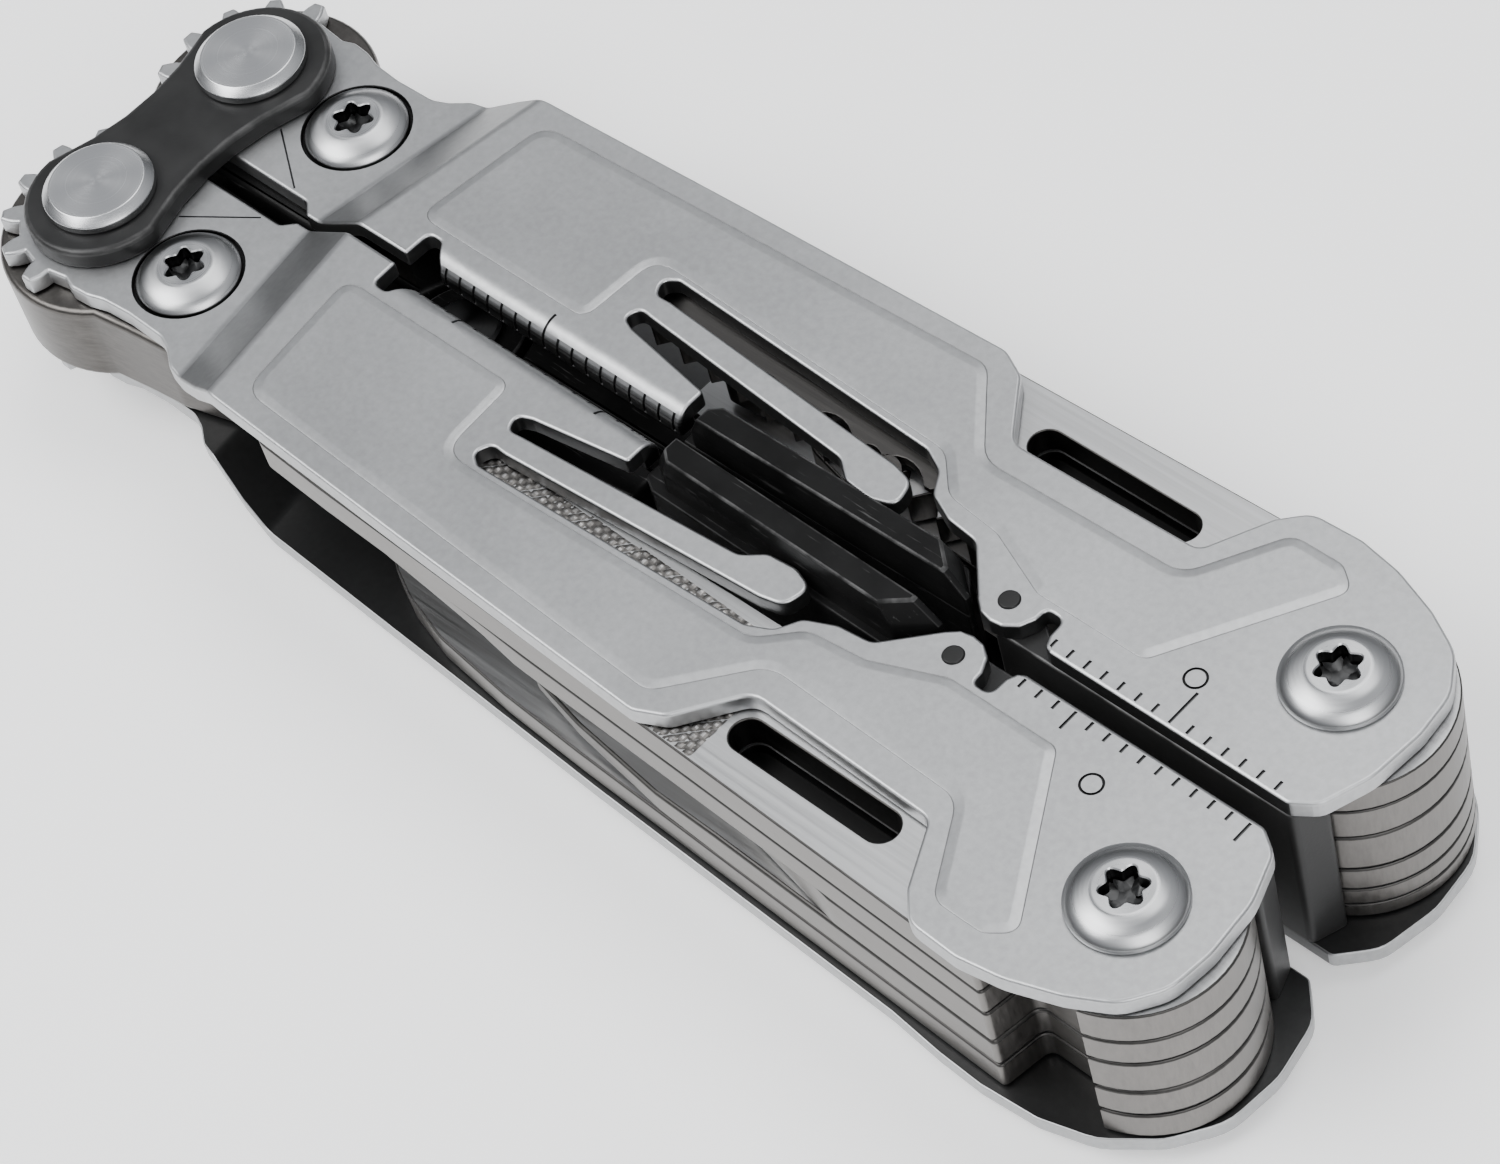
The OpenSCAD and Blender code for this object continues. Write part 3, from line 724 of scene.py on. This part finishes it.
def rivet_head(y, top):
    def draw(piece):
        z = LINK_HIGH.z + 0.02
        piece.lathe((0, y), [(0, z), (RIVET_R - 0.12, z), (RIVET_R - 0.03, z + 0.05), (RIVET_R, z + 0.12),
                             (RIVET_R, top - 0.42), (RIVET_R - 0.04, top - 0.36),
                             (RIVET_R - 0.42, top - 0.03), (RIVET_R - 0.5, top), (1.2, top),
                             (0.2, top - 0.01), (0, top - 0.03)], 96)
        piece.lathe((0, y), [
            (0, HEAD_Z - 0.9), (1.4, HEAD_Z - 0.9), (1.5, HEAD_Z - 0.8), (1.5, z + 0.05), (0, z + 0.05)
        ], 48)
    return draw


def star(centre, base, reach, size, count=6):
    """Outline of a six-lobed socket."""
    points = []
    for i in range(count * 10):
        angle = 2 * math.pi * i / (count * 10)
        r = base + reach * (0.5 + 0.5 * math.cos(count * angle)) ** size
        points.append((centre[0] + r * math.cos(angle), centre[1] + r * math.sin(angle)))
    return points


def screw(seat, centre, radius, spin):
    """Button-head screw with a rim, a dome and a six-lobed socket."""
    def draw(piece):
        z = seat
        profile = [(0.9, z - 1.2), (0.9, z), (radius - 0.1, z), (radius, z + 0.08), (radius, z + 0.22),
                   (radius - 0.05, z + 0.32), (radius - 0.2, z + 0.5), (radius - 0.48, z + 0.72),
                   (radius - 0.85, z + 0.92), (radius - 1.2, z + 1.05), (radius - 1.42, z + 1.1)]
        rings = [piece.ring(circle(centre, r, 60), h) for r, h in profile]
        for low, high in zip(rings, rings[1:]):
            piece.skirt(low, high)
        piece.fill([rings[0]])
        lobes = star((0, 0), 0.8, 0.34, 1.0)
        turn = math.radians(spin)
        lobes = [(centre[0] + x * math.cos(turn) - y * math.sin(turn),
                  centre[1] + x * math.sin(turn) + y * math.cos(turn)) for x, y in lobes]
        hole = leftward(lobes)
        steps = [(-0.06, 1.1), (0.0, 1.04), (0.03, 0.3), (0.45, 0.15)]
        walls = [piece.ring(inset(hole, d), z + h) for d, h in steps]
        # socket walls and floor are coloured near black: painted shade inside the socket
        for low, high in zip(walls[1:], walls[2:]):
            piece.skirt(low, high, -0.93)
        piece.skirt(walls[0], walls[1])
        piece.fill([walls[-1]], -0.9)
        piece.fill([rings[-1], walls[0]])
    return draw


def post(radius, flange_low, seat, top, centre):
    """Axle post with a flat bevelled flange underneath."""
    def draw(piece):
        piece.lathe(centre, [(0, flange_low + 0.25), (0.7, flange_low + 0.22), (0.85, flange_low),
                             (SCREW_R - 0.35, flange_low), (SCREW_R - 0.08, flange_low + 0.14),
                             (SCREW_R, flange_low + 0.3), (SCREW_R, seat - 0.06), (SCREW_R - 0.06, seat),
                             (radius, seat), (radius, top - 0.1), (radius - 0.1, top), (0, top)], 72)
    return draw


def stop_rod(centre):
    def draw(piece):
        z = HALF_Z + 0.1
        piece.lathe(centre, [(0, -z + 0.03), (0.45, -z), (0.5, -z + 0.02), (0.68, -z + 0.3), (0.68, z - 0.3),
                             (0.5, z - 0.02), (0.45, z), (0, z - 0.03)], 40)
    return draw


SPINE = [(56.65, 0.7, 0.3), (73.95, 0.7, 0.5), (74.6, 2.5, 0.3), (73.95, 2.75, 0.3), (73.4, 1.75, 0.8),
         (59.2, 1.75, 0.6), (57.6, 2.85, 0.8), (56, 2.85, 0.8), (55.6, 1.6, 0.8)]


def spine(name, body, lower):
    piece = Piece(name + "_looks")
    piece.slab(clean(rounded(SPINE)), -IN_Z, IN_Z, top=0.12, bottom=0.12)
    return piece.build(BLACK, body, name, lower=lower)


# ---------- jaws ----------

TAIL_R = 6.3
RIM_R = 4.6
JAW_Z = HEAD_Z - PLATE_T - 0.1
JAW_BODY = [(17.2, 0.3, 0.2), (17.9, 2, 0.6), (19.4, 3.3, 0.8), (22, 3.5, 0.8), (24.1, 2, 0.6),
            (24.6, 0.1, 0.2), (35.5, 0.1, 0.2), (35.5, 2.2, 0.4), (30, 2.9, 6), (24, 4.1, 6), (18, 6, 8),
            (12.5, 8.6, 5), (8.6, 9.7, 2.5), (6.2, 10, 2.5)]
RIVET_X, BOSS_R, BORE_R = 21, 3.1, 1.12
NOSE_CORE = [(36.7, 0.05, 0.1), (54.9, 0.05, 0.3), (54.9, 0.35, 0.2), (53.1, 2.15, 0.5), (37.6, 2.2, 0.5),
             (36.7, 1.7, 0.5)]
NOSE_BAR = [(37.4, 0.1, 0.1), (54.9, 0.08, 0.2), (54.9, 0.4, 0.15), (53.2, 1.75, 0.4), (38.2, 1.75, 0.3),
            (37.4, 1.2, 0.3)]


def nose_shape(co):
    """Slants the ends and the outer shoulder of the nose towards its top face."""
    lift = max(0.0, (abs(co.z) - (HALF_Z - 0.15)) / (REST_Z - HALF_Z + 0.15))
    x, y = co.x, co.y
    if x > 50:
        x = 50 + (x - 50) * (1 - 0.28 * lift)
    if x < 40:
        x = 40 + (x - 40) * (1 - 0.22 * lift)
    y = y * (1 - 0.12 * lift) if y > 1 else y + 0.12 * lift
    return Vector((x, y, co.z))


def jaw(name, rivet, body, lower):
    side = -1 if lower else 1
    piece = Piece(name + "_looks")
    tail = arc((0, AXLE_Y), TAIL_R, 52, 233, 6)
    shape = [(x, y, 0) for x, y in tail] + [(-3.9, 0.3, 0.3)] + JAW_BODY
    outline = clean(rounded(shape))
    hub = [(circle((0, AXLE_Y), RIM_R, 60), [(0, 0, 0), (0.1, 0, 0)])]
    piece.slab(outline, -JAW_Z, JAW_Z, [circle(JAW_PIN.xy, 1.68)], top=0.35, bottom=0.35, worn_and_shaded=0, on_top=hub)
    for face in piece.bm.faces:
        centre = face.calc_center_median()
        if centre.x < 14 and centre.y > 1 and math.hypot(centre.x, centre.y - AXLE_Y) > RIM_R:
            face[piece.wear_and_shade] = GROUND_BRIGHT
    boss_low, boss_high = (0.06, JAW_Z) if side > 0 else (-JAW_Z, -0.06)
    boss, bore = circle((RIVET_X, 0), BOSS_R, 64), circle((RIVET_X, 0), BORE_R, 32)
    piece.slab(boss, boss_low, boss_high, [bore], top=0.12, bottom=0.12)
    piece.slab(clean(rounded(NOSE_CORE)), 0.3 - IN_Z, IN_Z - 0.3, top=0.1, bottom=0.1, worn_and_shaded=0.2)
    bar_piece = Piece("bar")
    bar_piece.slab(clean(rounded(NOSE_BAR)), -REST_Z, REST_Z, top=0.12, bottom=0.12, worn_and_shaded=0.8)
    levels = [z * s for s in (-1, 1) for z in (HALF_Z - 0.15, HALF_Z + 0.1, HALF_Z + 0.35, HALF_Z + 0.6)]
    bar_piece.cut([((0, 0, z), (0, 0, 1)) for z in levels])
    bar_piece.cut([((x, 0, 0), (1, 0, 0)) for x in (38.8, 40, 50, 51.5, 53)])
    bar_piece.move(nose_shape)
    merge(piece, bar_piece)
    turn = Matrix.Translation((JAW_PIN.x, JAW_PIN.y, 0)) @ Matrix.Rotation(math.radians(NOSE_GAP), 4, "Z")
    turn = turn @ Matrix.Translation((-JAW_PIN.x, -JAW_PIN.y, 0))
    piece.bm.transform(turn)
    made = piece.build(JAW, body, name, lower=lower)
    pin = turn @ Vector((RIVET_X, 0, 0))

    def draw(target):
        target.lathe(pin.xy, [
            (0, 0.06), (1.1, 0.06), (1.1, JAW_Z + 0.02), (1.78, JAW_Z + 0.02), (1.9, JAW_Z + 0.12),
            (1.9, JAW_Z + 0.3), (1.72, JAW_Z + 0.45), (0.3, JAW_Z + 0.47), (0, JAW_Z + 0.45)
        ], 48)
    axial_piece(rivet + "_looks", body, rivet, pin.xy, PIN, draw, flip=lower, lower=lower)
    return made


def merge(piece, other):
    """Adds the faces of another drawing to this one."""
    mesh = bpy.data.meshes.new("part")
    other.bm.to_mesh(mesh)
    other.bm.free()
    count = len(piece.bm.faces)
    piece.bm.from_mesh(mesh)
    bpy.data.meshes.remove(mesh)
    piece.bm.faces.ensure_lookup_table()
    return count


# ---------- tools ----------

TANG_R = 5.2
NOTCH_X, NOTCH_Y, NOTCH_END = 68.3, 10.6, 72.8


def back(x, corner=2.0):
    """Outer edge of every blade; it follows the slight taper of the handle."""
    return (x, 12 + 0.027 * (x - 20), corner)


def tool_outline(blade):
    """Blade outline, inner edge first, carried round the notched tang disc."""
    lip = math.degrees(math.acos((NOTCH_END - TOOL_PIN.x) / TANG_R))
    points = [(x, y, 0) for x, y in reversed(arc(TOOL_PIN.xy, TANG_R, -134, lip, 6))]
    points += [(67.2, 3.42, 0.5), (62, 3.4, 1)] + blade
    return points + [back(67.9, 0.3), (NOTCH_X, NOTCH_Y, 0.6), (NOTCH_END, NOTCH_Y, 0.15)]


def tool(name, body, blade, lower, holes=(), edge=0.1, shape=None, cuts=(), on_top=(), material=None,
         extra=None):
    low, high = box_mm(name)
    z0, z1 = low.z - ORIGIN.z, high.z - ORIGIN.z
    piece = Piece(name + "_looks")
    bore = circle(TOOL_PIN.xy, 2.06, 40)
    outline = clean(rounded(tool_outline(blade)))
    # rounded edges flagged -0.8 turn dark: painted shade in the gaps between stacked tools
    piece.slab(outline, z0, z1, [bore, *holes], top=edge, bottom=edge, on_top=on_top, worn_and_shaded=-0.8,
               over=1, under=1)
    if cuts:
        piece.cut(cuts)
    if shape:
        centre = (z0 + z1) / 2
        piece.move(lambda co: shape(co, centre))
    if extra:
        extra(piece, z0, z1)
    return piece.build(material or GROUND, body, name, lower=lower)


# shallow recess coloured near black under the long slot of the neighbouring blade: painted shade seen through
# that slot
SLOT_SHADE_RECESS = [(0, 0, 0), (0.04, -0.05, -0.9), (0.1, -0.5, PAINTED_SHADE)]


def long_slot():
    return arc((51.4, 10.2), 0.9, 90, 270) + arc((59.6, 10.2), 0.9, -90, 90)


def knife():
    blade = [(57, 3.9, 1.5), (53, 4.9, 2), (50.6, 5.25, 0.6)]
    for i in reversed(range(4)):
        x = 32.6 + i * 4.6
        for centre, level, r in ((x + 3.8, 4.7, 1.0), (x + 2.6, 4.7, 1.0), (x, 4.1, 1.9)):
            reach = math.degrees(math.acos(min(1, (5.35 - level) / r)))
            blade += [(px, py, 0) for px, py in arc((centre, level), r, 90 - reach, 90 + reach, 16)]
    blade += [(30, 5.4, 4), (26, 5.9, 5), (23, 7, 5), (21, 8.6, 4), (19.6, 10.6, 0.3), (23, 11.7, 4),
              back(27)]

    def grind(co, centre):
        if co.x > 52:
            return co
        runout = min(1, max(0, (52 - co.x) / 3))
        t = min(1, max(0.08, (co.y - 4.9) / 3.4))
        keep = 1 - runout * (1 - t ** 0.8)
        return Vector((co.x, co.y, centre + (co.z - centre) * keep))

    cuts = [((0, y, 0), (0, 1, 0)) for y in (5.5, 5.9, 6.3, 6.8, 7.3, 7.8, 8.3)]
    cuts += [((x, 0, 0), (1, 0, 0)) for x in (49, 50, 51, 52)]

    # the ground bevel under the plate window is coloured dark: painted shade cast by the plate
    def shade_bevel_under_window(piece, _low, _high):
        for face in piece.bm.faces:
            centre = face.calc_center_median()
            if centre.x < 50.5 and centre.y < 8.3 and face[piece.wear_and_shade] > 0:
                face[piece.wear_and_shade] = -0.7
    tool("knife_blade", "knife_blade", blade, False, [long_slot()], 0.08, grind, cuts, extra=shade_bevel_under_window)


def saw():
    blade = [(56, 4.0, 1.5), (53, 4.8, 1)]
    for i in reversed(range(12)):
        x = 28 + 2 * i
        y = 6.9 - 0.09 * i
        blade += [(x + 1, y - 1.35, 0.08), (x, y, 0.12)]
    blade += [(26.9, 5.6, 0.3), (25.6, 8, 2), (26.6, 11, 2), back(30)]
    tool("saw_blade", "saw_blade", blade, False, (), 0.1, on_top=[(long_slot(), SLOT_SHADE_RECESS)])


def can_opener():
    blade = [(60, 4.2, 2), (50, 4.6, 6), (44, 4.4, 3), (39.5, 5.4, 1.6), (38.2, 7.7, 0.4), (44, 7.7, 0.2),
             (44.5, 6.9, 0.6), (46.3, 6.7, 0.8), (47.2, 8.2, 1), (46.2, 9.7, 0.8), (44.4, 9.5, 0.6),
             (44, 8.7, 0.2), (38.3, 8.7, 0.4), (39, 10, 1.2), (41, 10.6, 1), (44, 10.2, 1), (45.6, 10.9, 1),
             (48, 12, 2), back(52)]
    tool("can_opener", "can_opener", blade, False, (), 0.15)


def bottle_opener():
    blade = [(57, 3.9, 2), (41, 4.2, 3), (40.3, 6, 0.8), (40.4, 7.4, 1), (38.6, 8.4, 1), (36.2, 8.5, 0.8),
             (33.6, 7.3, 0.8), (31.3, 7.1, 0.4), (31.6, 10, 1.5), (34, 11.7, 1.5), (40, 12.2, 3), back(44)]
    tool("bottle_opener", "bottle_opener", blade, False, (), 0.12)


def tip_wedge(from_x, tip_x, thin):
    """Tapers a flat driver blade towards its tip."""
    def shape(co, centre):
        t = min(1, max(0, (from_x - co.x) / (from_x - tip_x)))
        return Vector((co.x, co.y, centre + (co.z - centre) * (1 - t * (1 - thin))))
    return shape


def drivers():
    tool("medium_driver", "medium_driver",
         [(60, 4, 2), (46, 5.4, 5), (31, 5.6, 1), (29.4, 5.8, 0.15), (29.4, 10.2, 0.15), (31, 10.4, 1),
          (46, 10.8, 5), (52, 12, 3)], False, (), 0.1, tip_wedge(38, 29.4, 0.55), [((38, 0, 0), (1, 0, 0))])
    tool("small_driver", "small_driver",
         [(60, 4.4, 2), (52, 6.2, 3), (35, 6.8, 1), (34, 7, 0.15), (34, 9.4, 0.15), (35, 9.6, 1),
          (52, 10.2, 3), (56, 11.8, 2)], False, (), 0.1, tip_wedge(40, 34, 0.55), [((40, 0, 0), (1, 0, 0))])
    tool("large_driver", "large_driver",
         [(60, 3.6, 2), (50, 4.8, 5), (38, 5.6, 4), (28, 6.2, 0.15), (28, 12, 0.15), back(38)],
         True, (), 0.14, ground_under, [((x, 0, 0), (1, 0, 0)) for x in (37, 35, 33, 31, 29.5)],
         [(long_slot(), SLOT_SHADE_RECESS)])
    tool("phillips_driver", "phillips_driver",
         [(60, 3.8, 2), (52, 5, 3), (38, 6, 3), (34, 6.8, 1.5), (32, 7.9, 0.3), (31.6, 8.4, 0.15),
          (32, 8.9, 0.3), (34, 10, 1.5), (38, 10.8, 2), (50, 11.6, 3), back(58)], True, (), 0.14)


def ground_under(co, centre):
    """Hollow-ground wedge at a driver tip, cut from the underside only."""
    if co.x >= 37 or co.z > centre:
        return co
    t = min(1, (37 - co.x) / 9)
    return Vector((co.x, co.y, co.z + 1.15 * math.sqrt(t)))


def awl_and_hook():
    tool("awl", "awl",
         [(60, 3.8, 2), (54, 5.2, 4), (48, 6.2, 4), (41, 8.6, 6), (36, 11.2, 0.2), (40, 12, 4), back(46)],
         True, (), 0.2, tip_wedge(50, 36, 0.35), [((x, 0, 0), (1, 0, 0)) for x in (50, 46, 41)])
    hook = [(60, 3.8, 2), (52, 4.4, 3), (36, 4.6, 3), (31.5, 5.4, 0.8), (32.6, 6.8, 0.8), (32.4, 8.2, 0.8),
            (31, 8.8, 0.6), (28.5, 8, 0.6), (25, 7.9, 0.3), (23.6, 9.4, 0.3), (24.8, 10.2, 1),
            (26.6, 11, 2), (29.6, 11.8, 3), (34.6, 12.3, 4), back(40)]
    tool("hook_blade", "hook_blade", hook, True, (), 0.12)


KNURL = 0.52
KNURL_HEIGHT, KNURL_SUNK = 0.11, 0.012


def file_cut(piece, z0, z1):
    """Rows of small pyramids over both faces of the file."""
    step = KNURL / 4
    low_edge = [(20.2, 9.2), (24, 6.1), (30, 5.4), (49, 5.15), (50, 5.1)]

    def inner(x):
        for (xa, ya), (xb, yb) in zip(low_edge, low_edge[1:]):
            if x <= xb:
                return ya + (yb - ya) * max(0, x - xa) / (xb - xa)
        return low_edge[-1][1]

    def height(x, y):
        u = (x + y) / KNURL / math.sqrt(2) * 1.15
        v = (x - 0.55 * y) / KNURL
        ridge_u = 1 - abs(2 * (u - math.floor(u)) - 1)
        ridge_v = 1 - abs(2 * (v - math.floor(v)) - 1)
        return KNURL_HEIGHT * min(ridge_u, ridge_v)

    def patch(z, sign):
        verts = {}
        columns = int((50.2 - 20.4) / step)
        rows = int(7.2 / step)
        for i in range(columns):
            x = 20.4 + i * step
            start = inner(x) + 0.12
            for j in range(rows):
                y = back(x)[1] - 0.12 - j * step
                if y < start:
                    break
                rim = min(1, (y - start) / 0.15 + 0.2, j / 2 + 0.2, (x - 20.4) / 0.2, (50.2 - x) / 0.3)
                z_here = z + sign * (0.002 + height(x, y) * max(0, rim))
                verts[i, j] = piece.bm.verts.new((x, y, z_here))
        for (i, j), vert in verts.items():
            corners = [(i, j), (i + 1, j), (i + 1, j + 1), (i, j + 1)]
            if all(key in verts for key in corners):
                face = piece.bm.faces.new([verts[key] for key in corners])
                # faces low in the valleys between the pyramids are coloured dark: painted shade
                depth = 1 - sum(abs(verts[key].co.z - z) for key in corners) / 0.4
                face[piece.wear_and_shade] = 1 - 1.9 * max(0, depth)

    patch(z1 - KNURL_SUNK, 1)
    patch(z0 + KNURL_SUNK, -1)


def file_blade():
    blade = [(57, 3.9, 1.5), (52, 4.7, 3), (30, 5, 8), (24, 5.6, 3), (20.4, 8, 3), (18.6, 11.3, 0.5),
             (19.6, 11.9, 1), back(24)]
    tool("file_blade", "file_blade", blade, True, [long_slot()], 0.1, extra=file_cut)


# ---------- whole object ----------

def handle(side):
    lower = side == "lower"
    body = side + "_handle"
    handle_plate(side + "_plate_top", body, True, lower)
    handle_plate(side + "_plate_bottom", body, False, lower)
    spine(side + "_spine", body, lower)
    axial_piece(side + "_stop_rod_looks", body, side + "_stop_rod", STOP_PIN.xy, BLACK,
                stop_rod(STOP_PIN.xy), lower=lower)
    axial_piece(side + "_tool_post_looks", body, side + "_tool_post", TOOL_PIN.xy, TURNED,
                post(2.0, -REST_Z, -HALF_Z, HALF_Z - 0.1, TOOL_PIN.xy), lower=lower)
    axial_piece(side + "_tool_screw_looks", body, side + "_tool_screw", TOOL_PIN.xy, SCREW,
                screw(HALF_Z + 0.02, TOOL_PIN.xy, SCREW_R, 12 if lower else 0), lower=lower)
    axial_piece(side + "_jaw_post_looks", body, side + "_jaw_post", JAW_PIN.xy, TURNED,
                post(1.6, -HEAD_Z - 0.7, -HEAD_Z + 0.3, HEAD_Z - 0.4, JAW_PIN.xy), lower=lower)
    axial_piece(side + "_jaw_screw_looks", body, side + "_jaw_screw", JAW_PIN.xy, SCREW,
                screw(HEAD_Z - 0.28, JAW_PIN.xy, SCREW_R, 40 if lower else 25), lower=lower)
    jaw(side + "_jaw", side + "_jaw_rivet", side + "_jaw", lower)


def link():
    for name, flip in (("top", False), ("bottom", True)):
        link_plate("link_plate_" + name, flip)
        for side, y in (("upper", AXLE_Y), ("lower", -AXLE_Y)):
            draw = rivet_head(y, RIVET_TOPS[name])
            axial_piece(f"link_rivet_{name}_{side}", "link", "link_rivets_" + name, (0, y),
                        TURNED, draw, flip=flip)


link()
handle("upper")
handle("lower")
knife()
saw()
can_opener()
bottle_opener()
drivers()
awl_and_hook()
file_blade()


# ---------- studio ----------

FLOOR_HALF = 0.9
SENSOR_MM, LENS_MM = 36, 109.45584


def floor():
    grid = bmesh.new()
    bmesh.ops.create_grid(grid, x_segments=24, y_segments=24, size=FLOOR_HALF)
    mesh = bpy.data.meshes.new("floor")
    grid.to_mesh(mesh)
    grid.free()
    n = Nodes("floor_paper")
    tint = n.mix(n.ramp(n.noise(4, 2), 0.3, 0.7), grey(0.92), grey(0.95))
    paper = n.finish(Base_Color=tint, Roughness=0.9, Emission_Color=grey(1.0), Emission_Strength=0.3)
    mesh.materials.append(paper)
    piece = bpy.data.objects.new("floor", mesh)
    bpy.context.scene.collection.objects.link(piece)


def area_light(name, place, target, size, power):
    data = bpy.data.lights.new(name, "AREA")
    data.shape = "RECTANGLE"
    data.size, data.size_y = size
    data.energy = power
    lamp = bpy.data.objects.new(name, data)
    lamp.location = place
    lamp.rotation_euler = (Vector(target) - Vector(place)).to_track_quat("-Z", "Y").to_euler()
    bpy.context.scene.collection.objects.link(lamp)


def studio():
    world = bpy.data.worlds.new("studio")
    bpy.context.scene.world = world
    world.use_nodes = True
    tree = world.node_tree
    background = tree.nodes["Background"]
    split = tree.nodes.new("ShaderNodeSeparateXYZ")
    tree.links.new(tree.nodes.new("ShaderNodeTexCoord").outputs["Generated"], split.inputs[0])
    height = tree.nodes.new("ShaderNodeMapRange")
    height.interpolation_type = "SMOOTHSTEP"
    tree.links.new(split.outputs["Z"], height.inputs["Value"])
    for socket, value in (("From Min", -0.05), ("From Max", 0.75), ("To Min", 0.06), ("To Max", 0.8)):
        height.inputs[socket].default_value = value
    tree.links.new(height.outputs["Result"], background.inputs["Strength"])
    background.inputs["Color"].default_value = (0.94, 0.96, 1.0, 1)
    area_light("key", (-0.25, -0.35, 0.55), (0, 0, 0), (0.5, 0.4), 5)
    area_light("fill", (0.5, -0.2, 0.4), (0, 0, 0), (0.4, 0.4), 2.5)
    area_light("top", (0.0, 0.25, 0.6), (0, 0, 0), (0.5, 0.3), 2)


def camera():
    """Long lens, looking down along the tool from its far right end, with a slight roll."""
    azimuth, elevation, roll = math.radians(57.259), math.radians(50.847), math.radians(-17.173)
    distance = 208.579
    target = Vector((46.182, -4.343, HALF_Z))
    back = Vector((math.sin(azimuth) * math.cos(elevation), -math.cos(azimuth) * math.cos(elevation),
                   math.sin(elevation)))
    right = (-back).cross(Vector((0, 0, 1))).normalized()
    up = right.cross(-back)
    right_r = right * math.cos(roll) + up * math.sin(roll)
    up_r = up * math.cos(roll) - right * math.sin(roll)
    place = TO_FRAME @ (target + back * distance)
    data = bpy.data.cameras.new("camera")
    data.sensor_fit = "HORIZONTAL"
    data.sensor_width = SENSOR_MM
    data.lens = LENS_MM
    data.clip_start = 0.005
    item = bpy.data.objects.new("camera", data)
    turn = Matrix((right_r, up_r, back)).transposed()
    item.matrix_world = Matrix.Translation(place) @ turn.to_4x4()
    bpy.context.scene.collection.objects.link(item)
    bpy.context.scene.camera = item


floor()
studio()
camera()
